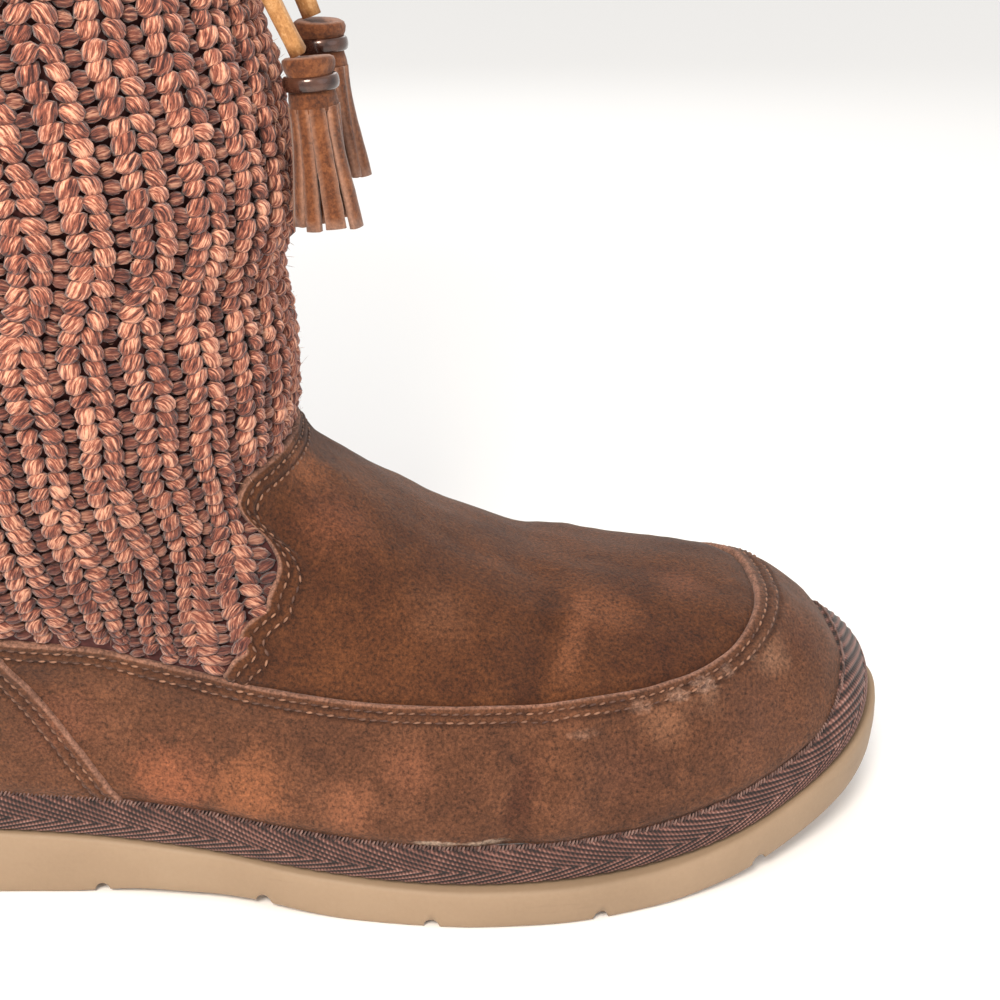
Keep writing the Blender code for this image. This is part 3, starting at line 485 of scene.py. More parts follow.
def node(tree, kind, inputs=(), **settings):
    """Adds a node; inputs maps a socket's name or number to a value or to another node's socket."""
    made = tree.nodes.new(kind)
    for key, value in settings.items():
        setattr(made, key, value)
    for key, value in dict(inputs).items():
        if isinstance(value, bpy.types.NodeSocket):
            tree.links.new(value, made.inputs[key])
        else:
            made.inputs[key].default_value = value
    return made


def new_material(name, roughness=0.9, metallic=0.0, ior=1.45, sheen=0.0, coat=0.0):
    """A material with a Principled shader; returns it with its tree and shader."""
    material = bpy.data.materials.new(name)
    material.use_nodes = True
    tree = material.node_tree
    shader = tree.nodes["Principled BSDF"]
    shader.inputs["Roughness"].default_value = roughness
    shader.inputs["Metallic"].default_value = metallic
    shader.inputs["IOR"].default_value = ior
    shader.inputs["Sheen Weight"].default_value = sheen
    shader.inputs["Sheen Roughness"].default_value = 0.45
    shader.inputs["Coat Weight"].default_value = coat
    return material, tree, shader


def ramp(tree, factor, stops):
    """Colour ramp from (place, hex) stops."""
    made = node(tree, "ShaderNodeValToRGB", {0: factor})
    made.color_ramp.elements[0].position = stops[0][0]
    made.color_ramp.elements[0].color = hexed(stops[0][1])
    made.color_ramp.elements[1].position = stops[-1][0]
    made.color_ramp.elements[1].color = hexed(stops[-1][1])
    for place_at, colour in stops[1:-1]:
        made.color_ramp.elements.new(place_at).color = hexed(colour)
    return made.outputs["Color"]


def blend(tree, factor, first, second):
    """Mixes two colours; each is a socket or a linear colour."""
    made = node(tree, "ShaderNodeMix", data_type="RGBA")
    for index, value in ((0, factor), (6, first), (7, second)):
        if isinstance(value, bpy.types.NodeSocket):
            tree.links.new(value, made.inputs[index])
        else:
            made.inputs[index].default_value = value
    return made.outputs[2]


def sums(tree, operation, first, second=0.0, third=0.0, clamp=False):
    made = node(tree, "ShaderNodeMath", {0: first, 1: second, 2: third}, operation=operation, use_clamp=clamp)
    return made.outputs[0]


def spots(tree, where, scale, detail=4.0, rough=0.55, stretch=0.0):
    """Soft noise over a coordinate; scale is patterns per metre."""
    made = node(tree, "ShaderNodeTexNoise", {"Vector": where, "Scale": scale, "Detail": detail,
                                            "Roughness": rough, "Distortion": stretch})
    return made.outputs["Fac"]


def within(tree, where, centre, radius, softness, squeeze=(1.0, 1.0, 1.0)):
    """One near a point of the boot, falling to none at the radius; squeeze above one narrows it that way."""
    apart = node(tree, "ShaderNodeVectorMath", {0: where, 1: centre}, operation="SUBTRACT").outputs[0]
    apart = node(tree, "ShaderNodeVectorMath", {0: apart, 1: squeeze}, operation="MULTIPLY").outputs[0]
    away = node(tree, "ShaderNodeVectorMath", {0: apart}, operation="LENGTH").outputs["Value"]
    near = node(tree, "ShaderNodeMapRange", {"Value": away, "From Min": radius * (1 - softness),
                                             "From Max": radius, "To Min": 1.0, "To Max": 0.0},
                interpolation_type="SMOOTHSTEP")
    return near.outputs[0]


def object_place(tree):
    return node(tree, "ShaderNodeTexCoord").outputs["Object"]


def tag(tree, name):
    return node(tree, "ShaderNodeAttribute", attribute_name=name).outputs["Fac"]


def relief(tree, shader, height, distance, strength=1.0):
    made = node(tree, "ShaderNodeBump", {"Strength": strength, "Distance": distance, "Height": height})
    tree.links.new(made.outputs[0], shader.inputs["Normal"])


def add_piece(name, points, faces, material, tags=None, uv=None):
    """A smooth mesh object in the boot's frame; points come with x from the heel's back."""
    mesh = bpy.data.meshes.new(name)
    points = np.array(points, dtype=float)
    points[:, 0] -= HEEL_CENTRE
    mesh.from_pydata(points.tolist(), [], faces if isinstance(faces, list) else faces.tolist())
    if uv is not None:
        mesh.uv_layers.new(name="UVMap").data.foreach_set("uv", np.asarray(uv, dtype=np.float32).ravel())
    for key, values in (tags or {}).items():
        layer = mesh.attributes.new(key, "FLOAT", "POINT")
        layer.data.foreach_set("value", np.asarray(values, np.float32).ravel())
    mesh.update()
    mesh.shade_smooth()
    mesh.materials.append(material)
    piece = bpy.data.objects.new(name, mesh)
    bpy.context.scene.collection.objects.link(piece)
    return piece


def skin(name, outer, inner, material, closed=True, tags=None, uv=None, turn=0.0):
    """A panel with thickness: many outer rows, few inner rows, rows running up, columns round the foot.

    uv holds metres for each outer point; turn is the length once round a closed panel.
    """
    rows = len(outer)
    grid = np.concatenate([outer, inner[::-1]])
    total, columns = grid.shape[:2]
    spare = total - rows
    wrap = np.arange(columns + (1 if closed else 0)) % columns
    index = np.arange(total + 1)[:, None] % total * columns + wrap[None, :]
    corners = np.stack([index[:-1, :-1], index[:-1, 1:], index[1:, 1:], index[1:, :-1]],
                       axis=-1).reshape(-1, 4)
    faces = corners.tolist()
    ends = []
    if not closed:
        ends = [[i * columns for i in range(total)], [i * columns + columns - 1 for i in range(total)][::-1]]
    full = {}
    for key, values in (tags or {}).items():
        values = np.broadcast_to(values, outer.shape[:2])
        full[key] = np.concatenate([values, np.repeat(values[-1:], spare, axis=0)])
    loops = None
    if uv is not None:
        uv = np.concatenate([uv, np.repeat(uv[-1:], spare, axis=0)])
        if closed:
            uv = np.concatenate([uv, uv[:, :1] + np.array([turn, 0.0])], axis=1)
        uv = np.concatenate([uv, uv[-1:]])
        loops = np.stack([uv[:-1, :-1], uv[:-1, 1:], uv[1:, 1:], uv[1:, :-1]], axis=-2).reshape(-1, 2)
        loops = np.concatenate([loops] + [np.zeros((len(e), 2)) for e in ends])
    return add_piece(name, grid.reshape(-1, 3), faces + ends, material, full, loops)


def arc(points, axis=0):
    """Length from the first point of each line of a grid to the others."""
    steps = np.linalg.norm(np.diff(points, axis=axis), axis=-1)
    start = np.zeros_like(np.take(steps, [0], axis=axis))
    return np.concatenate([start, np.cumsum(steps, axis=axis)], axis=axis)


def at_distance(grid, distance):
    """Points of a grid at one distance from its first row, measured down its columns."""
    away = arc(grid)
    out = []
    for j in range(grid.shape[1]):
        out.append([np.interp(distance, away[:, j], grid[:, j, i]) for i in range(3)])
    return np.array(out)


def points_along(at, run, line):
    """Points at given lengths along a line whose own points lie at run."""
    return np.stack([np.interp(at, run, line[:, i]) for i in range(3)], axis=-1)


def march(line, pitch, closed=False):
    """Even places along a line of points: positions and directions."""
    if closed:
        line = np.concatenate([line, line[:1]])
    run = arc(line)
    count = max(int(run[-1] / pitch), 1)
    even = (np.arange(count) + 0.5) * run[-1] / count
    ahead = points_along(np.minimum(even + pitch / 3, run[-1]), run, line)
    way = ahead - points_along(np.maximum(even - pitch / 3, 0), run, line)
    return points_along(even, run, line), way / np.linalg.norm(way, axis=1, keepdims=True)


def waver(points, size, seed, parts=7):
    """Smooth unevenness between about -1 and 1, with hollows of about the given size."""
    rng = np.random.default_rng(seed)
    out = np.zeros(points.shape[:-1])
    for _ in range(parts):
        way = rng.normal(size=3)
        way /= np.linalg.norm(way)
        out += np.sin(points @ way * 2 * math.pi / (size * rng.uniform(0.7, 1.6)) + rng.uniform(0, 6.28))
    return out / math.sqrt(parts)


def evened(vectors, reach, closed=False):
    """Directions smoothed along a grid's rows, so the form's own fold at the heel doesn't show."""
    window = np.hanning(2 * reach + 3)[1:-1]
    mode = "wrap" if closed else "edge"
    padded = np.pad(vectors, [(0, 0), (reach, reach), (0, 0)], mode=mode)
    out = sum(window[i] * padded[:, i:i + vectors.shape[1]] for i in range(len(window)))
    return out / np.linalg.norm(out, axis=-1, keepdims=True)


def rounded(loop, reach):
    """A closed loop of points smoothed along its length."""
    window = np.hanning(2 * reach + 3)[1:-1]
    padded = np.pad(loop, [(reach, reach), (0, 0)], mode="wrap")
    return sum(window[i] * padded[i:i + len(loop)] for i in range(len(window))) / window.sum()


def unit(vectors):
    return vectors / np.linalg.norm(vectors, axis=-1, keepdims=True)


def eulers(x_axis, y_axis, z_axis):
    """Turns of frames given by their three axes."""
    out = np.zeros(x_axis.shape)
    out[..., 0] = np.arctan2(y_axis[..., 2], z_axis[..., 2])
    out[..., 1] = np.arctan2(-x_axis[..., 2], np.hypot(x_axis[..., 0], x_axis[..., 1]))
    out[..., 2] = np.arctan2(x_axis[..., 1], x_axis[..., 0])
    return out


def set_out(name, template, places, along, up, sizes, material, tags=None, scale=1.0):
    """Copies of one small piece on many places, by Geometry Nodes, as one plain mesh."""
    z_axis = unit(up - along * np.sum(up * along, axis=-1, keepdims=True))
    y_axis = np.cross(z_axis, along)
    mesh = bpy.data.meshes.new(name + " places")
    shifted = places - np.array([HEEL_CENTRE, 0.0, 0.0])
    mesh.from_pydata(shifted.tolist(), [], [])
    vectors = {"turned": eulers(along, y_axis, z_axis), "sized": sizes}
    for key, values in vectors.items():
        layer = mesh.attributes.new(key, "FLOAT_VECTOR", "POINT")
        layer.data.foreach_set("vector", np.asarray(values, np.float32).ravel())
    for key, values in (tags or {}).items():
        layer = mesh.attributes.new(key, "FLOAT", "POINT")
        layer.data.foreach_set("value", np.asarray(values, np.float32).ravel())
    holder = bpy.data.objects.new(name + " places", mesh)
    bpy.context.scene.collection.objects.link(holder)
    tree = bpy.data.node_groups.new(name, "GeometryNodeTree")
    tree.interface.new_socket("Geometry", in_out="INPUT", socket_type="NodeSocketGeometry")
    piece_socket = tree.interface.new_socket("Piece", in_out="INPUT", socket_type="NodeSocketObject")
    scale_socket = tree.interface.new_socket("Scale", in_out="INPUT", socket_type="NodeSocketFloat")
    finish_socket = tree.interface.new_socket("Finish", in_out="INPUT", socket_type="NodeSocketMaterial")
    tree.interface.new_socket("Geometry", in_out="OUTPUT", socket_type="NodeSocketGeometry")
    given = node(tree, "NodeGroupInput")
    turned = node(tree, "GeometryNodeInputNamedAttribute", {"Name": "turned"}, data_type="FLOAT_VECTOR")
    sized = node(tree, "GeometryNodeInputNamedAttribute", {"Name": "sized"}, data_type="FLOAT_VECTOR")
    scaled = node(tree, "ShaderNodeVectorMath", {0: sized.outputs[0], "Scale": given.outputs["Scale"]},
                  operation="SCALE")
    rotation = node(tree, "FunctionNodeEulerToRotation", {0: turned.outputs[0]})
    piece = node(tree, "GeometryNodeObjectInfo", {"Object": given.outputs["Piece"], "As Instance": True})
    copies = node(tree, "GeometryNodeInstanceOnPoints", {"Points": given.outputs["Geometry"],
                  "Instance": piece.outputs["Geometry"], "Rotation": rotation.outputs[0],
                  "Scale": scaled.outputs[0]})
    real = node(tree, "GeometryNodeRealizeInstances", {"Geometry": copies.outputs[0]})
    finish = node(tree, "GeometryNodeSetMaterial",
                  {"Geometry": real.outputs[0], "Material": given.outputs["Finish"]})
    node(tree, "NodeGroupOutput", {0: finish.outputs[0]})
    modifier = holder.modifiers.new("set out", "NODES")
    modifier.node_group = tree
    modifier[piece_socket.identifier] = template
    modifier[scale_socket.identifier] = scale
    modifier[finish_socket.identifier] = material
    ready = bpy.context.evaluated_depsgraph_get()
    result = bpy.data.meshes.new_from_object(holder.evaluated_get(ready), preserve_all_data_layers=True,
                                             depsgraph=ready)
    bpy.data.objects.remove(holder, do_unlink=True)
    result.name = name
    for helper in ("turned", "sized"):
        if helper in result.attributes:
            result.attributes.remove(result.attributes[helper])
    result.shade_smooth()
    made = bpy.data.objects.new(name, result)
    bpy.context.scene.collection.objects.link(made)
    return made


def lump(name, rings, sides, profile, bend=0.0):
    """A small closed lump, one long on X, one wide on Y and one high on Z, with its own UV map."""
    points, faces, uv = [(-0.5, 0.0, -bend)], [], []
    for i in range(1, rings + 1):
        u = i / (rings + 1)
        radius = 0.5 * profile(u)
        sag = -bend * (2 * u - 1) ** 2
        for j in range(sides):
            turn = 2 * math.pi * j / sides
            points.append((u - 0.5, -radius * math.sin(turn), -radius * math.cos(turn) + sag))
    points.append((0.5, 0.0, -bend))
    last = len(points) - 1
    for j in range(sides):
        n = (j + 1) % sides
        faces.append((0, 1 + j, 1 + n))
        uv += [(0.0, (j + 0.5) / sides), (1 / (rings + 1), j / sides), (1 / (rings + 1), (j + 1) / sides)]
        end = 1 + (rings - 1) * sides
        faces.append((last, end + n, end + j))
        uv += [(1.0, (j + 0.5) / sides), (rings / (rings + 1), (j + 1) / sides),
               (rings / (rings + 1), j / sides)]
        for i in range(rings - 1):
            a = 1 + i * sides
            b = a + sides
            faces.append((a + j, b + j, b + n, a + n))
            u0, u1 = (i + 1) / (rings + 1), (i + 2) / (rings + 1)
            uv += [(u0, j / sides), (u1, j / sides), (u1, (j + 1) / sides), (u0, (j + 1) / sides)]
    mesh = bpy.data.meshes.new(name)
    mesh.from_pydata(points, [], faces)
    mesh.uv_layers.new(name="UVMap").data.foreach_set("uv", np.array(uv, np.float32).ravel())
    # crown, the height within the piece, lets the yarn finish paint shade low on each stitch
    heights = np.array([p[2] for p in points])
    crown = (heights - heights.min()) / (heights.max() - heights.min())
    mesh.attributes.new("crown", "FLOAT", "POINT").data.foreach_set("value", crown.astype(np.float32))
    mesh.shade_smooth()
    return bpy.data.objects.new(name, mesh)


# Knit sleeve
RIBS = 33                 # pairs of stitch columns round the shaft, 12 mm apart
COLUMN_SIDE = 0.195       # a column's distance from the pair's middle, as a share of a rib
COURSES = [(0.055, 0.00230), (0.085, 0.00292), (0.120, 0.00312), (0.210, 0.00335)]   # height, course
COLUMN_SLANT = 0.16       # how far the columns lean to the toe as they run down the sides
RIB_DEPTH = 0.0017        # the valley between two pairs
LUMP_LEAN = 24.0          # degrees by which a stitch leans down from level
LUMP_LONG = 0.0056
LUMP_WIDE = 0.0040
LUMP_HIGH = 0.0033
HAIRS = 8000


def even_places(count_fine=720):
    """Place round the form for an even share of the shaft's girth."""
    a = np.linspace(0.0, 1.0, count_fine + 1)
    line = surface(np.full(a.shape, 3.45), a)
    run = arc(line)
    return lambda share: np.interp(np.mod(share, 1.0), run / run[-1], a)


def knit_border(a_top):
    """Loop and place of the knit's lower edge under each place of the ankle line."""
    edge_k, edge_a = rear_edge(240, 0.0005)
    edge_k = np.maximum(edge_k, KNIT_FOOT)
    share = np.clip((a_top - KNIT_SPLIT) / (1 - 2 * KNIT_SPLIT), 0, 1)
    at = share * (len(edge_k) - 1)
    k = np.interp(at, np.arange(len(edge_k)), edge_k)
    a = np.interp(at, np.arange(len(edge_a)), edge_a)
    before = a_top < KNIT_SPLIT
    after = a_top > 1 - KNIT_SPLIT
    a = np.where(before, a_top / KNIT_SPLIT * edge_a[0], a)
    a = np.where(after, 1 - (1 - a_top) / KNIT_SPLIT * (1 - edge_a[-1]), a)
    k = np.where(before | after, KNIT_FOOT, k)
    return k, a


def knit_lines(shares, low=34, high=86):
    """Lines up the form for the knit's columns: points, outward directions and length from the border."""
    a_top = even_places()(shares)
    border_k, border_a = knit_border(a_top)
    t = np.linspace(0, 1, low)[:, None] ** 1.5
    k = np.concatenate([border_k + (3 - border_k) * t, 3 + np.linspace(0, 1, high)[1:, None] + 0 * a_top])
    a = np.concatenate([border_a + (a_top - border_a) * t, np.zeros((high - 1, 1)) + a_top])
    foot = surface(k, a)
    out = normals(foot)
    return foot, out, arc(foot)


def column_lines(shares, low=70, high=86):
    """Lines of the knit's columns, straight down the sides and on under the panels that cut them off."""
    a_top = even_places()(shares)
    fine = np.linspace(0.0, 1.0, 721)
    grid = surface(*np.meshgrid(np.linspace(2, 3, low), fine, indexing="ij"))
    lean = grid[..., 0] + COLUMN_SLANT * grid[..., 2]
    wanted = np.interp(a_top, fine, lean[-1])
    side = np.minimum(a_top, 1 - a_top)
    weight = smoothstep((side - 0.03) / 0.10) * (1 - smoothstep((side - 0.42) / 0.08))
    low_a = []
    for row in lean:
        on_outer = np.interp(wanted, np.maximum.accumulate(row[:361]), fine[:361])
        on_inner = np.interp(wanted, np.maximum.accumulate(row[360:][::-1]), fine[360:][::-1])
        low_a.append(a_top + (np.where(a_top < 0.5, on_outer, on_inner) - a_top) * weight)
    k = np.concatenate([np.linspace(2, 3, low)[:, None] + 0 * a_top,
                        np.linspace(3, 4, high)[1:, None] + 0 * a_top])
    a = np.concatenate([np.array(low_a), np.zeros((high - 1, 1)) + a_top])
    foot = surface(k, a)
    edge_k, edge_a = rear_edge(240, 0.0005)
    half = int(np.argmax(edge_k))
    start = np.interp(k, edge_k[:half + 1], edge_a[:half + 1])
    end = np.interp(k, edge_k[half:][::-1], edge_a[half:][::-1])
    under = (k < edge_k[half]) & (a > start) & (a < end)
    rim_k = np.concatenate([np.full(200, KNIT_FOOT), edge_k, np.full(200, KNIT_FOOT)])
    rim_a = np.concatenate([np.linspace(0, edge_a[0], 200), edge_a, np.linspace(edge_a[-1], 1, 200)])
    rim = surface(rim_k, rim_a)
    away = np.array([[np.sqrt(np.min(np.sum((rim - point) ** 2, axis=1))) for point in row]
                     for row in foot[:low + 12]])
    away = np.concatenate([away, np.full((len(foot) - low - 12, len(a_top)), 0.05)])
    return foot, normals(foot), np.where(under, -away, away)


def knit_thickness(foot, away):
    """How far the knit's ground stands off the form."""
    thick = LAY + 0.0010 + (KNIT_WALL - 0.0014) * smoothstep(away / 0.009)
    turn = smoothstep((foot[..., 2] - HEIGHT + COLLAR_TURN + 0.0012) / 0.0016)
    return thick + COLLAR_STEP * turn


def over_the_rim(foot, out, thick):
    """Carries each line of the knit over the collar's rounded top."""
    top = HEIGHT - 0.0029
    keep = int(np.sum(foot[:, 0, 2] < top))
    points = (foot + out * thick[..., None])[:keep]
    directions = out[:keep]
    base = foot[keep - 1].copy()
    base[:, 2] = top
    side = out[keep - 1].copy()
    side[:, 2] = 0.0
    side = unit(side)
    up = np.array([0.0, 0.0, 1.0])
    reach = thick[keep - 1].mean()
    arcs, ways = [], []
    for turn in np.radians([0, 22, 45, 68, 90, 112, 135, 158, 180]):
        way = side * math.cos(turn) + up * math.sin(turn)
        arcs.append(base + side * (reach - 0.0026) + way * 0.0026)
        ways.append(way)
    return np.concatenate([points, np.array(arcs)]), np.concatenate([directions, np.array(ways)])


def tuck_under(points, directions, length=0.0045, drop=0.0012):
    """One more row below the first, under the panels' rims."""
    down = unit(points[0] - points[1])
    return (np.concatenate([[points[0] + down * length - directions[0] * drop], points]),
            np.concatenate([directions[:1], directions]))


def make_knit_ground(material):
    """The knit's ground: ribs and valleys that the stitches stand on, dark maroon as painted shade in the
    gaps between the stitches.
    """
    count = RIBS * 6
    shares = np.arange(count) / count
    foot, out, away = knit_lines(shares, 44, 56)
    thick = knit_thickness(foot, away)
    wave = (0.5 + 0.5 * np.cos(2 * math.pi * (shares * RIBS - 0.5)))[None, :]
    ribbed = smoothstep((np.arange(len(foot)) - 36) / 8)[:, None]
    full = smoothstep(away / 0.009)
    thick = thick - RIB_DEPTH * (0.6 + (0.4 - wave) * ribbed) * full - 0.0009 * full
    points, directions = over_the_rim(foot, out, thick)
    points, directions = tuck_under(points, directions)
    rows = np.linspace(0, len(points) - 10, 30).astype(int)
    inner = np.concatenate([[foot[0]], foot[np.clip(rows[1:] - 1, 0, len(foot) - 1)]])
    inner = inner + np.concatenate([[out[0]], out[np.clip(rows[1:] - 1, 0, len(out) - 1)]]) * 0.0004
    return skin("knit_ground", points, inner, material, True)


def knit_stitches():
    """Place, direction along the lump, outward direction and sizes of every stitch, by kind."""
    shares = []
    for rib in range(RIBS):
        shares += [rib / RIBS, (rib + 0.5 - COLUMN_SIDE) / RIBS, (rib + 0.5 + COLUMN_SIDE) / RIBS]
    shares = np.array(shares)
    foot, out, away = column_lines(shares)
    thick = knit_thickness(foot, np.maximum(away, 0))
    kinds = np.tile([0, 1, 2], RIBS)
    valley = np.where(kinds == 0, RIB_DEPTH * 0.60, 0.0)
    thick = thick - valley[None, :] * smoothstep(away / 0.009)
    points, directions = over_the_rim(foot, out, thick)
    away = np.concatenate([away, np.full((len(points), away.shape[1]), 0.05)])[:len(points)]
    run = arc(points)
    rng = np.random.default_rng(11)
    found = {0: [], 1: [], 2: []}
    for j, kind in enumerate(kinds):
        line = points[:, j]
        pair = points[:, (j + 3) % len(kinds)]
        gap = np.linalg.norm(pair - line, axis=1)
        z = line[:, 2]
        course = np.interp(z, [row[0] for row in COURSES], [row[1] for row in COURSES])
        counted = np.concatenate([[0], np.cumsum(np.diff(run[:, j]) / (0.5 * (course[1:] + course[:-1])))])
        number = counted[-1] - np.arange(0.35, counted[-1], 1.0)
        number = number + rng.normal(0, 0.05, len(number)) + (0.5 if kind == 0 else 0.0)
        at = np.interp(number, counted, run[:, j])
        seen = np.interp(at, run[:, j], away[:, j]) > 0.0007
        at = at[seen & (number[: len(at)] > 0.1)]
        place_at = points_along(at, run[:, j], line)
        ahead = points_along(at + 0.001, run[:, j], line)
        behind = points_along(at - 0.001, run[:, j], line)
        way = points_along(at, run[:, j], directions[:, j])
        wide = np.interp(at, run[:, j], gap)
        pitch = np.interp(at, run[:, j], course)
        found[kind].append((place_at, unit(ahead - behind), unit(way), wide, pitch))
    return {kind: [np.concatenate(parts) for parts in zip(*rows)] for kind, rows in found.items()}


def make_knit_stitches(material):
    """Half-cardigan rib: two leaning stitches a course on each rib, and small level ones in the valleys."""
    rng = np.random.default_rng(5)
    template = lump("stitch", 4, 7, lambda u: math.sin(math.pi * u) ** 0.55, 0.10)
    small = lump("small stitch", 3, 6, lambda u: math.sin(math.pi * u) ** 0.55, 0.10)
    pieces = []
    stitches = knit_stitches()
    hair_roots = []
    for kind, name in ((0, "knit_valley_stitches"), (1, "knit_left_stitches"), (2, "knit_right_stitches")):
        places, up, out, wide, pitch = stitches[kind]
        count = len(places)
        side = unit(np.cross(up, out))
        lean = {0: 0.0, 1: -1.0, 2: 1.0}[kind]
        angle = np.radians(LUMP_LEAN * abs(lean) + rng.normal(0, 8.0, count))[:, None]
        along = side * np.cos(angle) * (lean if lean else 1.0) - up * np.sin(angle)
        dip = np.radians(rng.normal(10.0 * abs(lean), 5.0, count))[:, None]
        along = unit(along * np.cos(dip) - out * np.sin(dip))
        fit = (wide / 0.0120)[:, None]
        size = np.array([LUMP_LONG, LUMP_WIDE, LUMP_HIGH]) * (0.80 if kind == 0 else 1.0)
        sizes = size * rng.uniform(0.90, 1.12, (count, 3))
        sizes[:, :1] *= np.clip(fit, 0.7, 1.15)
        sizes[:, 1] *= np.clip(pitch / 0.0032, 0.72, 1.1)
        places = (places + out * rng.normal(0, 0.00022, count)[:, None]
                  + side * rng.normal(0, 0.00018, count)[:, None])
        # valley marks the recessed stitches, which the yarn finish darkens as painted shade
        tags = {"shade": rng.uniform(0, 1, count), "valley": np.full(count, 1.0 if kind == 0 else 0.0),
                "twist": np.full(count, -lean)}
        shape = small if kind == 0 else template
        pieces.append(set_out(name, shape, places, along, unit(out + up * 0.32), sizes, material, tags))
        hair_roots.append((places + out * LUMP_HIGH * 0.32, along, out))
    bpy.data.objects.remove(template, do_unlink=True)
    bpy.data.objects.remove(small, do_unlink=True)
    return pieces, hair_roots


def make_fuzz(roots, material):
    """Loose fibres that stand off the yarn."""
    rng = np.random.default_rng(23)
    template = lump("fibre", 2, 3, lambda u: 1.0, 0.18)
    places, along, out = [np.concatenate(parts) for parts in zip(*roots)]
    pick = rng.integers(0, len(places), HAIRS)
    way = along[pick] * rng.choice([-1.0, 1.0], HAIRS)[:, None]
    way = unit(way * 0.9 + rng.normal(0, 0.45, (HAIRS, 3))
               + out[pick] * rng.uniform(0.05, 0.95, HAIRS)[:, None])
    long = rng.uniform(0.0014, 0.0032, HAIRS)
    thin = rng.uniform(0.00005, 0.00010, HAIRS)
    at = places[pick] + way * (long * 0.35)[:, None] + rng.normal(0, 0.0007, (HAIRS, 3))
    sizes = np.stack([long, thin, thin], axis=-1)
    piece = set_out("knit_fuzz", template, at, way, out[pick], sizes, material,
                    {"shade": rng.uniform(0, 1, HAIRS)})
    bpy.data.objects.remove(template, do_unlink=True)
    return piece


# Suede panels
ROW_ONE = 0.00304         # first stitch row from a panel's raw edge
ROW_TWO = 0.00595         # second row
CHANNEL = 0.00042         # how deep the stitches pull the suede in
RAW_RIM = 0.0010          # width of the raw rim that shows light
STITCH_PITCH = 0.0023
STITCH_SLANT = 9.0        # degrees between a stitch and its row
THREAD_STITCH = (0.00180, 0.00056, 0.00056)   # length, width and height of a thread stitch
PANEL_BASE = 0.0002       # a panel's inner side over the form

Crease = namedtuple("Crease", "x0 z0 x1 z1 width depth side")
CREASES = [
    Crease(0.193, 0.041, 0.186, 0.022, 0.0042, 0.0011, -1),
    Crease(0.201, 0.042, 0.197, 0.026, 0.0050, -0.0007, -1),
    Crease(0.209, 0.038, 0.207, 0.024, 0.0050, 0.0006, -1),
    Crease(0.180, 0.040, 0.176, 0.026, 0.0060, -0.0005, -1),
    Crease(0.197, 0.066, 0.190, 0.047, 0.0050, 0.0010, -1),
    Crease(0.206, 0.064, 0.200, 0.048, 0.0060, -0.0005, -1),
    Crease(0.186, 0.070, 0.181, 0.050, 0.0060, -0.0004, -1),
    Crease(0.190, 0.070, 0.188, 0.060, 0.0070, 0.0006, 0),
    Crease(0.193, 0.040, 0.188, 0.024, 0.0045, 0.0009, 1),
    Crease(0.206, 0.040, 0.203, 0.026, 0.0050, 0.0006, 1),
    Crease(0.196, 0.066, 0.190, 0.048, 0.0060, 0.0007, 1),
    Crease(0.070, 0.060, 0.060, 0.040, 0.0080, 0.0007, 0),
    Crease(0.012, 0.062, 0.030, 0.058, 0.0070, 0.0006, 0),
]


def creased(points):
    """Soft troughs and ridges, set in the side view."""
    out = np.zeros(points.shape[:-1])
    for row in CREASES:
        p = np.array([row.x0, row.z0])
        q = np.array([row.x1, row.z1])
        flat = points[..., [0, 2]] - p
        share = np.clip(flat @ (q - p) / np.sum((q - p) ** 2), 0, 1)
        away = np.linalg.norm(flat - share[..., None] * (q - p), axis=-1)
        part = np.exp(-(away / row.width) ** 2)
        if row.side:
            part = part * smoothstep(points[..., 1] * row.side / 0.012)
        out -= row.depth * part
    return out


def edge_relief(away):
    """Stitch channels and the rounded raw rim of a panel, over the distance from its edge."""
    channel = -CHANNEL * (np.exp(-((away - ROW_ONE) / 0.00050) ** 2)
                          + np.exp(-((away - ROW_TWO) / 0.00050) ** 2))
    pillow = 0.00012 * np.exp(-((away - 0.5 * (ROW_ONE + ROW_TWO)) / 0.0006) ** 2)
    round_off = -0.00075 * np.clip(1 - away / 0.0007, 0, 1) ** 2
    return channel + pillow + round_off


def edge_tags(away):
    rim = 1 - smoothstep((away - RAW_RIM * 0.55) / (RAW_RIM * 0.7))
    # seam marks the stitch rows, which the suede finish darkens as painted shade
    seam = np.exp(-((away - ROW_ONE) / 0.00075) ** 2) + np.exp(-((away - ROW_TWO) / 0.00075) ** 2)
    return rim, np.clip(seam, 0, 1)


def panel(name, k, a, edges, lift, material):
    """A suede panel on loops k and places a; edges lists where its raw edges are among rows and columns.

    Returns it with its outer points.
    """
    foot = surface(k, a)
    across = arc(foot, 1)
    out = evened(normals(foot), max(int(0.006 / np.median(np.diff(across, axis=1))), 1))
    run = arc(foot)
    away = np.full(k.shape, 1.0)
    for edge in edges:
        if edge == "top":
            away = np.minimum(away, run[-1] - run)
        if edge == "bottom":
            away = np.minimum(away, run)
        if edge == "first":
            away = np.minimum(away, across)
        if edge == "last":
            away = np.minimum(away, across[:, -1:] - across)
    rise = edge_relief(away) + creased(foot)
    rise += 0.00022 * waver(foot, 0.022, 3) + 0.00008 * waver(foot, 0.006, 4)
    rise = np.maximum(rise, -0.0012)
    ragged = 0.00016 * waver(foot, 0.004, 9) * np.exp(-(away / 0.0008) ** 2)
    outer = foot + out * (lift + rise + ragged)[..., None]
    rim, seam = edge_tags(away)
    rows = np.linspace(0, len(k) - 1, len(k) // 4).astype(int)
    inner = foot[rows] + out[rows] * PANEL_BASE
    tags = {"rim": rim, "seam": seam, "away": np.minimum(away, 0.05)}
    return skin(name, outer, inner, material, False, tags), outer


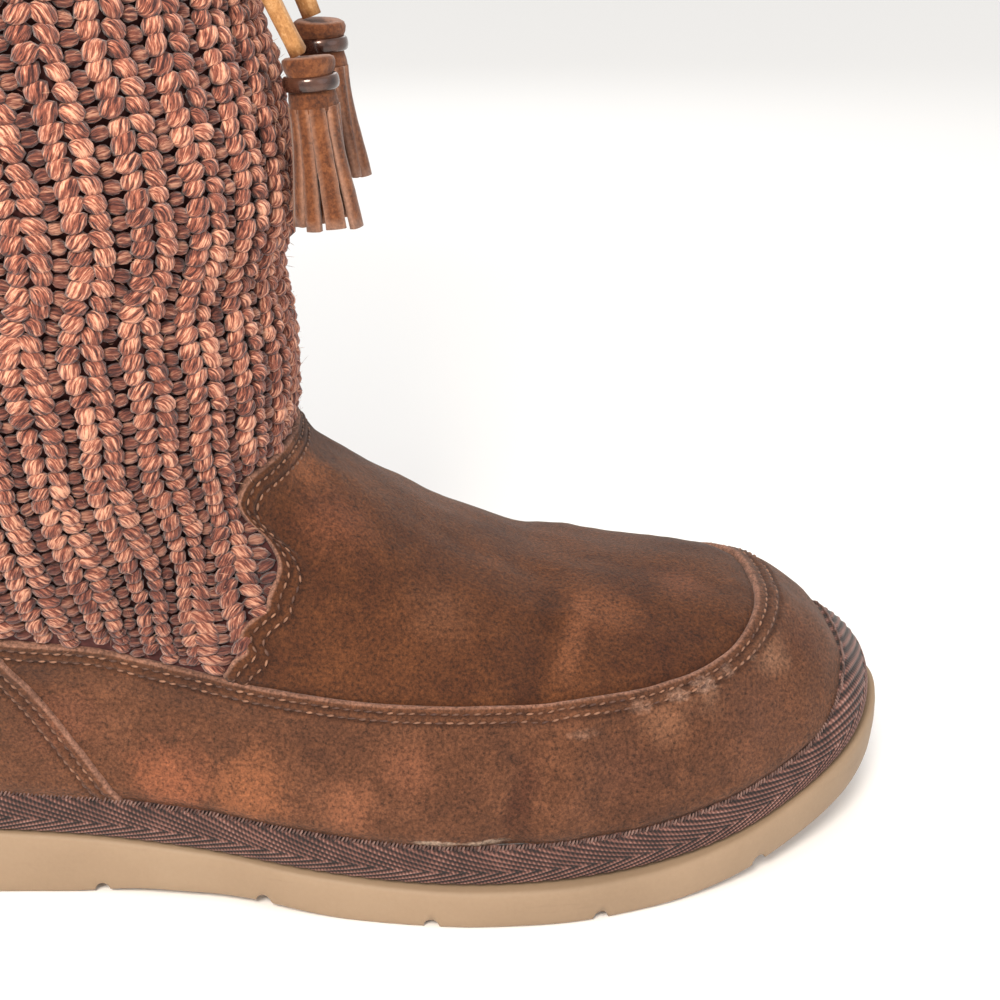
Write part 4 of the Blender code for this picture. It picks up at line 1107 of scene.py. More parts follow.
def sew(name, outer, edge, distance, template, material):
    """A row of thread stitches at one distance from a panel's edge, each slanting a little across it."""
    grid = {"top": outer[::-1], "bottom": outer, "first": outer.transpose(1, 0, 2),
            "last": outer.transpose(1, 0, 2)[::-1]}[edge]
    line = at_distance(grid[:60], distance)
    places, along = march(line, STITCH_PITCH)
    out = normals(places)
    rng = np.random.default_rng(len(name))
    across = np.cross(out, along)
    slant = math.radians(STITCH_SLANT)
    way = unit(along * math.cos(slant) + across * math.sin(slant)
               + across * rng.normal(0, 0.06, len(places))[:, None])
    places = places + out * 0.00006
    sizes = np.array(THREAD_STITCH) * rng.uniform(0.85, 1.12, (len(places), 3))
    return set_out(name, template, places, way, out, sizes, material,
                   {"shade": rng.uniform(0, 1, len(places))})


def band_levels():
    """Rows of a side panel, closer together towards its raw upper edge."""
    return np.concatenate([[0.80, 0.95], np.linspace(1.03, 1.70, 15), np.linspace(1.72, 1.96, 26),
                           [1.975, 1.987, 1.996, 2.0]])


def make_foxing(material):
    """The side band from the counter round the toe; its rear ends run on under the counter."""
    levels = band_levels()
    share = np.linspace(0, 1, 520)
    k, a = [], []
    for level_at in levels:
        up = min(max(level_at - 1.0, 0.0), 1.0)
        start = diagonal(up, False)[1] - 0.016
        end = diagonal(up, True)[1] + 0.016
        k.append(np.full(len(share), level_at))
        a.append(start + (end - start) * share)
    k, a = np.array(k), np.array(a)
    lift = np.full(k.shape, LAY + PANEL)
    lift += 0.0007 * smoothstep((k - 1.70) / 0.2) - 0.0014 * (1 - smoothstep((k - 0.98) / 0.10))
    return panel("side_band", k, a, ["top"], lift, material)


def make_counter(material):
    """The heel's counter, whose double-stitched front edges lap the band."""
    levels = band_levels()
    u = np.linspace(0, 1, 66)[1:-1]
    ends = np.concatenate([[0, 0.0006, 0.0015, 0.003], np.linspace(0.005, 0.055, 24)])
    share = np.concatenate([ends, 0.06 + 0.88 * u, 1 - ends[::-1]])
    k, a = [], []
    for level_at in levels:
        up = min(max(level_at - 1.0, 0.0), 1.0)
        start = diagonal(up, True)[1] - 1.0
        end = diagonal(up, False)[1]
        k.append(np.full(len(share), level_at))
        a.append(start + (end - start) * share)
    k, a = np.array(k), np.array(a)
    side = np.minimum(share, 1 - share)[None, :]
    lift = (LAY + PANEL + 0.0011 * (1 - smoothstep((side - 0.05) / 0.12))
            + 0.0006 * smoothstep((k - 1.70) / 0.2))
    lift = lift - 0.0014 * (1 - smoothstep((k - 0.98) / 0.10))
    return panel("heel_counter_suede", k, a, ["top", "first", "last"], lift, material)


def make_vamp(material):
    """The plug over the instep and toe, lapping the knit behind and running under the band in front."""
    count = 190
    rear_k, rear_a = rear_edge(count, 0.0010)
    rear_k = np.maximum(rear_k, 1.985)
    front_a = np.linspace(rear_a[0], rear_a[-1], count)
    t = np.linspace(0, 1, 104)[:, None] ** 1.6
    k = rear_k * (1 - t) + 1.90 * t
    a = rear_a * (1 - t) + front_a * t
    k, a = k[::-1], a[::-1]
    foot = surface(k, a)
    run = arc(foot)
    from_seam = run
    from_rear = run[-1] - run
    lift = LAY + PANEL - 0.0011 * (1 - smoothstep((from_seam - 0.002) / 0.006))
    lift += 0.0013 * (1 - smoothstep((from_rear - 0.003) / 0.008))
    return panel("vamp_suede", k, a, ["top"], lift, material)


def make_lining(material):
    """The lined wall, fleecy on the inside, from the sole to just under the knit's rim."""
    levels = np.concatenate([np.linspace(0, 2, 22), np.linspace(2, 3, 22)[1:], np.linspace(3, 3.975, 56)[1:]])
    places = np.arange(170) / 170
    k, a = np.meshgrid(levels, places, indexing="ij")
    foot = surface(k, a)
    foot[:, 0] = (foot[:, 1] + foot[:, -1]) / 2     # the form has a fold on the heel's middle line
    out = evened(normals(foot), 3, True)
    deep = WALL - 0.0003 + 0.0005 * waver(foot, 0.0075, 31) + 0.0003 * waver(foot, 0.004, 32)
    near = np.clip((levels[-1] - k) / 0.012, 0, 1)
    deep = deep * (0.55 + 0.45 * near ** 0.5)
    inside = foot - out * deep[..., None]
    rows = np.linspace(0, len(levels) - 1, 49).astype(int)
    outside = foot[rows] - out[rows] * 0.0007
    for grid in (inside, outside):
        grid[0, :, 2] = sole_top(grid[0, :, 0]) + GAP
    return skin("fleece_lining", outside, inside, material, True)


# Binding tape
TWILL_PITCH = 0.00115     # between two ribs of the twill, drawn a little coarser than thread
TWILL_ANGLE = 17.0        # degrees between the ribs and the tape's length
TWILL_DEEP = 0.00042
PICOT_PITCH = 0.00085


def make_tape(material):
    """Herringbone tape, ribbed by two rows of slanting twill that meet along its middle."""
    columns = 840
    share = np.linspace(0, 1, 48)
    places = np.arange(columns) / columns
    climb = smoothstep((0.075 - np.abs(places - 0.5)) / 0.055)
    low, high = surface(np.zeros(columns), places), surface(1 + 0.30 * climb, places)
    low, high = rounded(low, 22), rounded(high, 12)
    foot = low[None] + (high - low)[None] * share[:, None, None]
    step = np.roll(low + high, -1, axis=0) - np.roll(low + high, 1, axis=0)
    out = unit(np.cross(step, high - low))[None]
    out = evened(np.repeat(out, len(share), axis=0), 14, True)
    middle = foot[24]
    run = np.concatenate([arc(middle), [arc(np.concatenate([middle, middle[:1]]))[-1]]])
    girth = run[-1]
    waves = round(girth * math.sin(math.radians(TWILL_ANGLE)) / TWILL_PITCH)
    along = run[:-1][None, :] / girth * waves
    across = np.abs(share - 0.5)[:, None] * TAPE_HEIGHT * math.cos(math.radians(TWILL_ANGLE)) / TWILL_PITCH
    phase = along + across
    crest = 0.5 + 0.5 * np.cos(2 * math.pi * phase)
    bulge = np.sin(math.pi * np.clip(share, 0, 1)) ** 0.7
    fade = smoothstep(np.minimum(share, 1 - share) / 0.06)
    thick = LAY + TAPE_EDGE - 0.0004 + (TAPE_THICK - TAPE_EDGE) * bulge
    thick = thick - 0.0013 * (1 - smoothstep(share / 0.14)) - 0.0005 * (1 - smoothstep((1 - share) / 0.08))
    thick = thick[:, None] + 0.0014 * climb * np.sin(math.pi * share)[:, None]
    lift = thick + TWILL_DEEP * (crest ** 0.7 - 0.6) * fade[:, None] + 0.0012 * climb * share[:, None]
    outer = foot + out * lift[..., None]
    outer[0, :, 2] = sole_top(outer[0, :, 0]) + GAP
    rows = np.array([0, 16, 32, 47])
    inner = foot[rows] + out[rows] * LAY * 0.8
    grid_shape = (len(share), columns)
    uv = np.stack([np.broadcast_to(run[:-1][None, :], grid_shape),
                   np.broadcast_to(share[:, None] * TAPE_HEIGHT, grid_shape)], axis=-1)
    # the crest tag lets the twill finish paint highlight on the ribs and shade in the grooves
    piece = skin("twill_tape", outer, inner, material, True, {"crest": crest}, uv, girth)
    return piece, outer


def make_picot(tape_grid, material):
    """The looped thread edge along the tape's top."""
    line = tape_grid[-1] * 0.5 + tape_grid[-3] * 0.5
    places, along = march(line, PICOT_PITCH, True)
    out = normals(places)
    up = unit(np.cross(out, along)) * -1.0
    up = np.where(up[:, 2:] < 0, -up, up)
    template = lump("picot", 3, 6, lambda u: math.sin(math.pi * u) ** 0.4, 0.0)
    rng = np.random.default_rng(3)
    count = len(places)
    way = unit(up + along * (0.45 + rng.normal(0, 0.12, count))[:, None])
    sizes = np.array([0.00190, 0.00046, 0.00060]) * rng.uniform(0.85, 1.15, (count, 3))
    piece = set_out("tape_picot", template, places + out * 0.0001 + up * 0.0003, way, out, sizes, material,
                    {"shade": rng.uniform(0, 1, count)})
    bpy.data.objects.remove(template, do_unlink=True)
    return piece


def groove_places():
    count = int((LENGTH - GROOVE_PITCH) / GROOVE_PITCH)
    first = (LENGTH - (count - 1) * GROOVE_PITCH) / 2 + GROOVE_SHIFT
    return [first + i * GROOVE_PITCH for i in range(count)]


def grooves(x):
    """Rise of the underside in the round cross grooves between the lugs."""
    rise = np.zeros(np.shape(x))
    for at in groove_places():
        rise += GROOVE_DEPTH * np.sqrt(np.clip(1 - ((x - at) / (GROOVE_WIDTH * 0.62)) ** 2, 0, 1)) * 0.85
    return rise


def make_sole(material):
    """Moulded foam sole: rounded edges, slightly crowned sides and round grooves underneath."""
    stations = list(0.5 * (1 - np.cos(np.linspace(0, math.pi, 150))))
    for at in groove_places():
        stations += [(at + d) / LENGTH for d in np.linspace(-0.0026, 0.0026, 17)]
    s = np.unique(np.round(stations, 5))
    count = len(s)
    profile = [(0.0012, 0.0, 0.0, 0), (0.0005, 0.0, 0.0003, 0), (0.0001, 0.0, 0.0009, 0),
               (-0.0001, 0.25, 0.0, 0), (-0.0003, 0.5, 0.0, 0), (-0.0002, 0.75, 0.0, 0),
               (0.0001, 1.0, -0.0009, 1), (0.0005, 1.0, -0.0003, 1), (0.0012, 1.0, 0.0, 1)]
    points, rings = [], []
    for tuck, share, shift, _ in profile:
        scale = 1 - 2 * tuck / BALL_WIDTH
        xs = tuck + s * (LENGTH - 2 * tuck)
        low = sole_bottom(xs) + grooves(xs) * (1 - smoothstep(share / 0.35))
        z = low + (sole_top(xs) - low) * share + shift
        w = half_width(s) * scale
        c = centre_line(s)
        outer_side = np.stack([xs, c - w, z], axis=-1)
        inner_side = np.stack([xs, c + w, z], axis=-1)
        rings.append(np.concatenate([outer_side, inner_side[::-1][1:-1]]))
    total = rings[0].shape[0]
    points = np.concatenate(rings)
    faces = []
    for r in range(len(rings) - 1):
        for j in range(total):
            n = (j + 1) % total
            faces.append((r * total + j, r * total + n, (r + 1) * total + n, (r + 1) * total + j))
    base = len(points)
    extra = []
    across = 10
    for which, r in ((0, 0), (1, len(rings) - 1)):
        rows = []
        for i in range(1, count - 1):
            left = r * total + i
            right = r * total + (total - i)
            row = [left]
            for c in range(1, across):
                t = c / across
                p = points[left] * (1 - t) + points[right] * t
                extra.append(p)
                row.append(base + len(extra) - 1)
            row.append(right)
            rows.append(row)
        heel, toe = r * total, r * total + count - 1
        for i in range(len(rows) - 1):
            for c in range(across):
                quad = (rows[i][c], rows[i][c + 1], rows[i + 1][c + 1], rows[i + 1][c])
                faces.append(quad if which == 0 else quad[::-1])
        for tip, row, flip in ((heel, rows[0], which == 0), (toe, rows[-1], which == 1)):
            for c in range(across):
                tri = (tip, row[c + 1], row[c])
                faces.append(tri if flip else tri[::-1])
    points = np.concatenate([points, np.array(extra)])
    return add_piece("foam_sole", points, faces, material)


def tube_mesh(name, line, section, material, closed=False):
    """A mesh tube of a given section along a line, with closed ends and metres in its UV map."""
    line = np.array(line)
    count = len(line)
    if closed:
        tangents = unit(np.roll(line, -1, axis=0) - np.roll(line, 1, axis=0))
    else:
        tangents = unit(np.gradient(line, axis=0))
    side = np.cross(tangents[0], (0.0, 0.0, 1.0) if abs(tangents[0][2]) < 0.9 else (1.0, 0.0, 0.0))
    sides = [side / np.linalg.norm(side)]
    for i in range(1, count):
        s = sides[-1] - tangents[i] * np.dot(sides[-1], tangents[i])
        sides.append(s / np.linalg.norm(s))
    sides = np.array(sides)
    cross = np.cross(tangents, sides)
    section = np.array(section)
    n = len(section)
    rough = 1 + 0.035 * waver(line, 0.006, 7) + 0.02 * waver(line, 0.0023, 8)
    rings = line[:, None] + (sides[:, None] * section[None, :, :1]
                             + cross[:, None] * section[None, :, 1:]) * rough[:, None, None]
    points = rings.reshape(-1, 3)
    run = arc(line)
    faces, uv = [], []
    for i in range(count if closed else count - 1):
        m = (i + 1) % count
        for j in range(n):
            q = (j + 1) % n
            faces.append((i * n + j, i * n + q, m * n + q, m * n + j))
            v0, v1 = j / n, (j + 1) / n
            u0 = run[i]
            u1 = run[m] if m else run[i] + (run[i] - run[i - 1])
            uv += [(u0, v0), (u0, v1), (u1, v1), (u1, v0)]
    if not closed:
        faces.append(tuple(range(n))[::-1])
        faces.append(tuple((count - 1) * n + j for j in range(n)))
        uv += [(0.0, 0.0)] * (2 * n)
    return add_piece(name, points, faces, material, None, uv)


def thong_section(wide=0.0042, thick=0.0034, corners=4.0, count=14):
    turn = np.linspace(0, 2 * math.pi, count, endpoint=False)
    c, s = np.cos(turn), np.sin(turn)
    radius = (np.abs(c) ** corners + np.abs(s) ** corners) ** (-1 / corners)
    return np.stack([wide / 2 * radius * c, thick / 2 * radius * s], axis=-1) * 0.96


def knot_frame():
    middle = knit_outside(THONG_HEIGHT, [KNOT_PLACE], KNOT_SEAT)[0]
    base = knit_outside(THONG_HEIGHT, [KNOT_PLACE])[0]
    out = unit(middle - base)
    return middle, out, np.array([out[1], -out[0], 0.0])


def make_collar_thong(material):
    places = np.linspace(KNOT_PLACE + 0.004, KNOT_PLACE + 0.996, 360)
    points = knit_outside(THONG_HEIGHT, places, 2 * GAP + THONG / 2)
    points[:, 2] += 0.0012 * np.sin(places * 4 * math.pi + 0.6) * np.sin(math.pi * (places - KNOT_PLACE))
    return tube_mesh("thong_round_shaft", points, thong_section(), material)


def make_knot(material):
    """An overhand knot pulled tight, a thong's own section on a trefoil line."""
    middle, out, along = knot_frame()
    up = np.array([0.0, 0.0, 1.0])
    turn = np.linspace(0, 2 * math.pi, 72, endpoint=False)
    x = (np.sin(turn) + 2 * np.sin(2 * turn)) / 3 * 0.0030
    y = (np.cos(turn) - 2 * np.cos(2 * turn)) / 3 * 0.0033
    z = -np.sin(3 * turn) * 0.0014
    line = middle + along * x[:, None] + up * y[:, None] + out * (z + 0.0003)[:, None]
    return tube_mesh("tied_knot", line, thong_section(0.0036, 0.0032, 3.0), material, closed=True)


def tassel_axes(cord):
    top, tip = np.array(cord.top), np.array(cord.tip)
    down = unit(tip - top)
    side = unit(np.cross(down, (0.0, 1.0, 0.0)))
    return top, down, side, np.cross(down, side)


Turned = namedtuple("Turned", "down radius")
HEAD_PROFILE = [
    Turned(0.0006, 0.30), Turned(0.0002, 0.60), Turned(0.0000, 0.86), Turned(0.0004, 0.99),
    Turned(0.0012, 1.03), Turned(0.0022, 0.99), Turned(0.0032, 0.91), Turned(0.0042, 0.86),
    Turned(0.0056, 0.86), Turned(0.0068, 0.90), Turned(0.0078, 0.94), Turned(0.0090, 0.96),
    Turned(0.0099, 0.95), Turned(0.0102, 0.90), Turned(0.0103, 0.80), Turned(0.0120, 0.76),
    Turned(0.0150, 0.72), Turned(0.0152, 0.20),
]


def make_tassel(name, cord, material, seed):
    """Rolled head with a flared lip and a wrap, and slit strips below it, of uneven length and curl."""
    top, down, side, cross = tassel_axes(cord)
    rng = np.random.default_rng(seed)
    sides = 40
    points, faces, edge = [], [], []
    for row in HEAD_PROFILE:
        for j in range(sides):
            turn = 2 * math.pi * j / sides
            uneven = 1 + 0.025 * math.sin(turn * 2 + seed) + 0.012 * math.sin(turn * 5 + row.down * 900)
            lip = (0.0004 * math.sin(turn + 0.8 * seed) if row.down < 0.0025
                   else 0.0003 * math.sin(turn * 2 + seed))
            radius = row.radius * TASSEL_HEAD * uneven
            points.append(top + down * (row.down + lip)
                          + (side * math.cos(turn) + cross * math.sin(turn)) * radius)
            edge.append(0.75 if row.down < 0.0003 else (0.5 if 0.0100 < row.down < 0.01025 else 0.0))
    for i in range(len(HEAD_PROFILE) - 1):
        for j in range(sides):
            n = (j + 1) % sides
            faces.append((i * sides + j, (i + 1) * sides + j, (i + 1) * sides + n, i * sides + n))
    faces.append(tuple(range(sides)))
    last = (len(HEAD_PROFILE) - 1) * sides
    faces.append(tuple(last + j for j in range(sides))[::-1])
    layers = ((STRIPS + 1, 1.0, 0.0), (7, 0.60, 0.3))
    for count, share, shift in layers:
        for strip in range(count):
            turn = 2 * math.pi * (strip + shift + rng.uniform(-0.16, 0.16)) / count
            out = side * math.cos(turn) + cross * math.sin(turn)
            wide = np.cross(down, out)
            length = TASSEL_LENGTH * rng.uniform(0.955, 1.0) * (1.0 if share == 1.0 else 0.97)
            half = rng.uniform(0.00135, 0.00175) * (1.0 if share == 1.0 else 0.9)
            spread = rng.uniform(0.74, 1.10)
            drift = rng.uniform(-0.0010, 0.0010)
            twist = rng.uniform(-0.55, 0.55)
            curl = rng.uniform(-0.0003, 0.0005)
            rows = 11
            start = len(points)
            for i in range(rows):
                t = i / (rows - 1)
                reach = 0.0093 + (length - 0.0093) * t
                radius = share * (TASSEL_HEAD * 0.86
                                  + (TASSEL_SPREAD * spread - TASSEL_HEAD * 0.86) * smoothstep(t * 0.95)
                                  - 0.0003 * math.sin(math.pi * t)) + curl * t * t
                face_out = out * math.cos(twist * t) + wide * math.sin(twist * t)
                face_wide = wide * math.cos(twist * t) - out * math.sin(twist * t)
                grow = half * (0.92 + 0.26 * t)
                centre = top + down * reach + out * radius + wide * drift * t
                thick = 0.00068
                ring = [(-1, 0.6), (-0.88, 1), (-0.4, 1.12), (0.0, 1.16), (0.4, 1.12), (0.88, 1), (1, 0.6),
                        (1, -0.6), (0.8, -1), (-0.8, -1), (-1, -0.6)]
                for w, d in ring:
                    ragged = 1 + 0.04 * math.sin(37 * t + strip * 3 + w * 2)
                    bow = -0.00022 * w * w
                    points.append(centre + face_wide * w * grow * ragged + face_out * (d * thick + bow))
                    edge.append(1.0 if abs(w) == 1 or i == rows - 1
                                else (0.55 if abs(w) > 0.85 or d < 0 else 0.0))
            n = len(ring)
            for i in range(rows - 1):
                for j in range(n):
                    q = (j + 1) % n
                    a, b = start + i * n, start + (i + 1) * n
                    faces.append((a + j, b + j, b + q, a + q))
            faces.append(tuple(start + j for j in range(n)))
            faces.append(tuple(start + (rows - 1) * n + j for j in range(n))[::-1])
    return add_piece(name, points, [face[::-1] for face in faces], material, {"raw": edge})


def make_clip(name, cord, material):
    """A dark glossy band bent round the neck, crowned and with rounded ends."""
    top, down, side, cross = tassel_axes(cord)
    inner = TASSEL_HEAD * 0.90
    turns = np.linspace(math.radians(-150), math.radians(150), 61)
    profile = [(-0.5, 0.10), (-0.46, 0.55), (-0.36, 0.88), (-0.18, 1.02), (0.0, 1.08),
               (0.18, 1.02), (0.36, 0.88), (0.46, 0.55), (0.5, 0.10)]
    grid, back = [], []
    for rise, swell in profile:
        row, row_back = [], []
        for turn in turns:
            end = math.sqrt(max(1 - (abs(turn) / math.radians(153)) ** 8, 0.02))
            out = (side * (math.cos(turn) * 0.45 + math.sin(turn) * 0.89)
                   + cross * (math.cos(turn) * 0.89 - math.sin(turn) * 0.45))
            out = out - down * np.dot(out, down)
            out /= np.linalg.norm(out)
            middle = top + down * (CLIP_DROP - rise * CLIP_HEIGHT * end)
            row.append(middle + out * (inner + CLIP_THICK * swell * (0.5 + 0.5 * end)))
            row_back.append(middle + out * (inner - 0.0001))
        grid.append(row)
        back.append(row_back)
    back = np.array(back)[[0, 4, 8]]
    return skin(name, np.array(grid), back, material, False)


# Materials
CREASE_LIGHT_REACH = 0.0062       # how far a painted crease shade or highlight spreads to each side


def suede(name, tones, patches, stains=()):
    """Napped split leather: dull, cloudy with wear and light at raw edges; painted shade darkens it where
    stitches pull it in, and some of its patches are painted shade and highlight.
    """
    material, tree, shader = new_material(name, 0.95, 0.0, 1.40, 0.08)
    where = object_place(tree)
    large = spots(tree, where, 30.0, 4.0, 0.6, 0.5)
    middle = spots(tree, where, 130.0, 6.0, 0.68, 0.9)
    fine = spots(tree, where, 1350.0, 4.0, 0.75)
    cloud = sums(tree, "MULTIPLY_ADD", large, 0.55, sums(tree, "MULTIPLY", middle, 0.45))
    colour = ramp(tree, cloud, tones)
    brushed = spots(tree, where, 210.0, 6.0, 0.72, 0.8)
    # patches set the tone by place; the crease stripes and the darker toe patches among them are painted
    # shade and highlight
    for centre, radius, tone, strength in patches:
        near = within(tree, where, centre, radius, 1.0)
        edge = sums(tree, "ADD", near, sums(tree, "MULTIPLY_ADD", brushed, 2.6, -1.3))
        mask = node(tree, "ShaderNodeMapRange", {"Value": edge, "From Min": 0.20, "From Max": 0.90,
                                                "To Min": 0.0, "To Max": strength}).outputs[0]
        colour = blend(tree, sums(tree, "MULTIPLY", mask, near), colour, hexed(tone))
    # painted shade: the suede darkens along the stitch rows, in the channels the stitches pull in
    seam = tag(tree, "seam")
    colour = blend(tree, sums(tree, "MULTIPLY", seam, 0.55), colour, hexed("#2a150c"))
    rim = sums(tree, "MULTIPLY", tag(tree, "rim"), sums(tree, "MULTIPLY_ADD", middle, 1.4, 0.15), clamp=True)
    colour = blend(tree, rim, colour, hexed("#8a6453"))
    for centre, radius, squeeze, tone, strength in stains:
        near = within(tree, where, centre, radius, 0.9, squeeze)
        rubbed = sums(tree, "MULTIPLY", near, spots(tree, where, 700.0, 5.0, 0.75))
        broken = node(tree, "ShaderNodeMapRange", {"Value": rubbed, "From Min": 0.28, "From Max": 0.52,
                                                  "To Min": 0.0, "To Max": strength}).outputs[0]
        colour = blend(tree, broken, colour, hexed(tone))
    speck = node(tree, "ShaderNodeMapRange", {"Value": fine, "From Min": 0.3, "From Max": 0.7,
                                             "To Min": 0.22, "To Max": 1.78}).outputs[0]
    colour = node(tree, "ShaderNodeVectorMath", {0: colour, "Scale": speck}, operation="SCALE").outputs[0]
    tree.links.new(colour, shader.inputs["Base Color"])
    height = sums(tree, "MULTIPLY_ADD", middle, 0.6, fine)
    relief(tree, shader, height, 0.00040, 0.7)
    return material


def painted_crease_light(first, last, tone, strength):
    """A soft stripe of another tone where the foot bends the leather, as patches along a line: painted shade
    along a crease trough or painted highlight along a ridge.
    """
    points = np.linspace(first, last, 7).round(4).tolist()
    return [(tuple(point), CREASE_LIGHT_REACH, tone, strength) for point in points]


def yarn(name, dark, body, light, sheen=0.3):
    """Brushed melange yarn: strands run along each stitch, pale on its crown; painted shade makes it maroon
    in its folds, on the valley stitches and towards the foot of the shaft.
    """
    material, tree, shader = new_material(name, 0.9, 0.0, 1.5, sheen)
    uv = node(tree, "ShaderNodeUVMap", uv_map="UVMap").outputs[0]
    shade = tag(tree, "shade")
    crown = tag(tree, "crown")
    axes = node(tree, "ShaderNodeSeparateXYZ", {0: uv})
    twist = sums(tree, "MULTIPLY", tag(tree, "twist"), 0.68)
    x = sums(tree, "MULTIPLY", axes.outputs[0], 5.6)
    y = sums(tree, "MULTIPLY", axes.outputs[1], 12.0)
    along = sums(tree, "MULTIPLY_ADD", y, twist, sums(tree, "MULTIPLY", x, 0.74))
    across = sums(tree, "SUBTRACT", sums(tree, "MULTIPLY", y, 0.74), sums(tree, "MULTIPLY", x, twist))
    where_strand = node(tree, "ShaderNodeCombineXYZ", {0: sums(tree, "MULTIPLY", along, 0.28),
                                                       1: sums(tree, "MULTIPLY", across, 1.9),
                                                       2: sums(tree, "MULTIPLY", shade, 53.0)}).outputs[0]
    strands = spots(tree, where_strand, 1.0, 3.0, 0.65)
    where = object_place(tree)
    cloud = spots(tree, where, 120.0, 4.0, 0.6)
    mixed = sums(tree, "MULTIPLY_ADD", strands, 1.45, sums(tree, "MULTIPLY_ADD", cloud, 0.35, -0.42))
    mixed = sums(tree, "ADD", mixed, sums(tree, "MULTIPLY_ADD", shade, 0.14, -0.07))
    colour = ramp(tree, mixed, [(0.28, dark), (0.50, body), (0.70, light)])
    # painted shade: each stitch turns to the dark tone low down, by its crown height
    deep = node(tree, "ShaderNodeMapRange", {"Value": crown, "From Min": 0.30, "From Max": 0.80,
                                             "To Min": 0.0, "To Max": 1.0},
                interpolation_type="SMOOTHSTEP").outputs[0]
    colour = blend(tree, deep, hexed(dark), colour)
    # painted shade: the recessed valley stitches are pulled halfway to the dark tone
    valley = sums(tree, "MULTIPLY", tag(tree, "valley"), 0.50)
    colour = blend(tree, valley, colour, hexed(dark))
    # painted shade: the yarn darkens towards the bottom of the shaft
    height = node(tree, "ShaderNodeSeparateXYZ", {0: where}).outputs["Z"]
    painted_low_shade = node(tree, "ShaderNodeMapRange", {"Value": height, "From Min": 0.060, "From Max": 0.150,
                                               "To Min": 0.34, "To Max": 0.0},
                  interpolation_type="SMOOTHSTEP").outputs[0]
    colour = blend(tree, painted_low_shade, colour, hexed(dark))
    tree.links.new(colour, shader.inputs["Base Color"])
    relief(tree, shader, strands, 0.0006, 0.9)
    return material


def plain_cloth(name, low, high, scale, distance, rough=0.95, sheen=0.2):
    """Cloth or foam seen small: two tones of noise with a soft relief."""
    material, tree, shader = new_material(name, rough, 0.0, 1.45, sheen)
    where = object_place(tree)
    grain = spots(tree, where, scale, 4.0, 0.6)
    wide = spots(tree, where, scale / 22, 3.0, 0.5)
    value = sums(tree, "MULTIPLY_ADD", grain, 0.6, sums(tree, "MULTIPLY", wide, 0.4))
    tree.links.new(ramp(tree, value, [(0.32, low), (0.68, high)]), shader.inputs["Base Color"])
    relief(tree, shader, grain, distance, 0.6)
    return material


def twill(name):
    """Woven herringbone tape: mauve-brown ribs beaded by warp threads, pale where rubbed; painted highlight
    lightens the rib crests and painted shade darkens the grooves between them.
    """
    material, tree, shader = new_material(name, 0.78, 0.0, 1.5, 0.15)
    uv = node(tree, "ShaderNodeUVMap", uv_map="UVMap").outputs[0]
    where = object_place(tree)
    crest = tag(tree, "crest")
    axes = node(tree, "ShaderNodeSeparateXYZ", {0: uv})
    bead = sums(tree, "SINE", sums(tree, "MULTIPLY", axes.outputs[0], 2 * math.pi / 0.00085))
    bead = sums(tree, "MULTIPLY_ADD", bead, 0.5, 0.5)
    worn = spots(tree, where, 160.0, 5.0, 0.65)
    # painted highlight on the rib crests and painted shade in the grooves, by the crest height
    value = sums(tree, "MULTIPLY_ADD", crest, 0.55, sums(tree, "MULTIPLY", bead, 0.22))
    value = sums(tree, "ADD", value, sums(tree, "MULTIPLY_ADD", worn, 0.5, -0.25))
    colour = ramp(tree, value, [(0.18, "#160a09"), (0.42, "#482b25"), (0.66, "#80574c"), (0.90, "#b8938a")])
    tree.links.new(colour, shader.inputs["Base Color"])
    height = sums(tree, "MULTIPLY_ADD", bead, 0.6, crest)
    relief(tree, shader, height, 0.00018, 0.8)
    return material


def thread(name, dark, light):
    """Waxed sewing thread: a soft shine, each stitch a little lighter or darker than the next."""
    material, tree, shader = new_material(name, 0.6, 0.0, 1.5, 0.1)
    shade = tag(tree, "shade")
    uv = node(tree, "ShaderNodeUVMap", uv_map="UVMap").outputs[0]
    ply = sums(tree, "SINE", node(tree, "ShaderNodeSeparateXYZ", {0: uv}).outputs[0])
    colour = ramp(tree, sums(tree, "MULTIPLY_ADD", shade, 0.8, sums(tree, "MULTIPLY", ply, 0.2)),
                  [(0.1, dark), (0.9, light)])
    tree.links.new(colour, shader.inputs["Base Color"])
    return material


def foam(name):
    """Moulded EVA: even tan, faintly cloudy, with streaks of rubbed dirt."""
    material, tree, shader = new_material(name, 0.62, 0.0, 1.45)
    where = object_place(tree)
    wide = spots(tree, where, 22.0, 4.0, 0.5, 0.3)
    fine = spots(tree, where, 900.0, 3.0, 0.6)
    colour = ramp(tree, sums(tree, "MULTIPLY_ADD", wide, 0.8, sums(tree, "MULTIPLY", fine, 0.2)),
                  [(0.30, "#8e775f"), (0.55, "#998168"), (0.75, "#a08970")])
    smear = node(tree, "ShaderNodeMapping", {0: where, "Scale": (40.0, 40.0, 260.0)}).outputs[0]
    dirt = node(tree, "ShaderNodeTexNoise", {"Vector": smear, "Scale": 1.0, "Detail": 5.0,
                                             "Roughness": 0.65}).outputs["Fac"]
    mask = node(tree, "ShaderNodeMapRange", {"Value": dirt, "From Min": 0.60, "From Max": 0.74, "To Min": 0.0,
                                            "To Max": 0.30}, clamp=True).outputs[0]
    colour = blend(tree, mask, colour, hexed("#7d6752"))
    tree.links.new(colour, shader.inputs["Base Color"])
    relief(tree, shader, fine, 0.00012, 0.4)
    return material


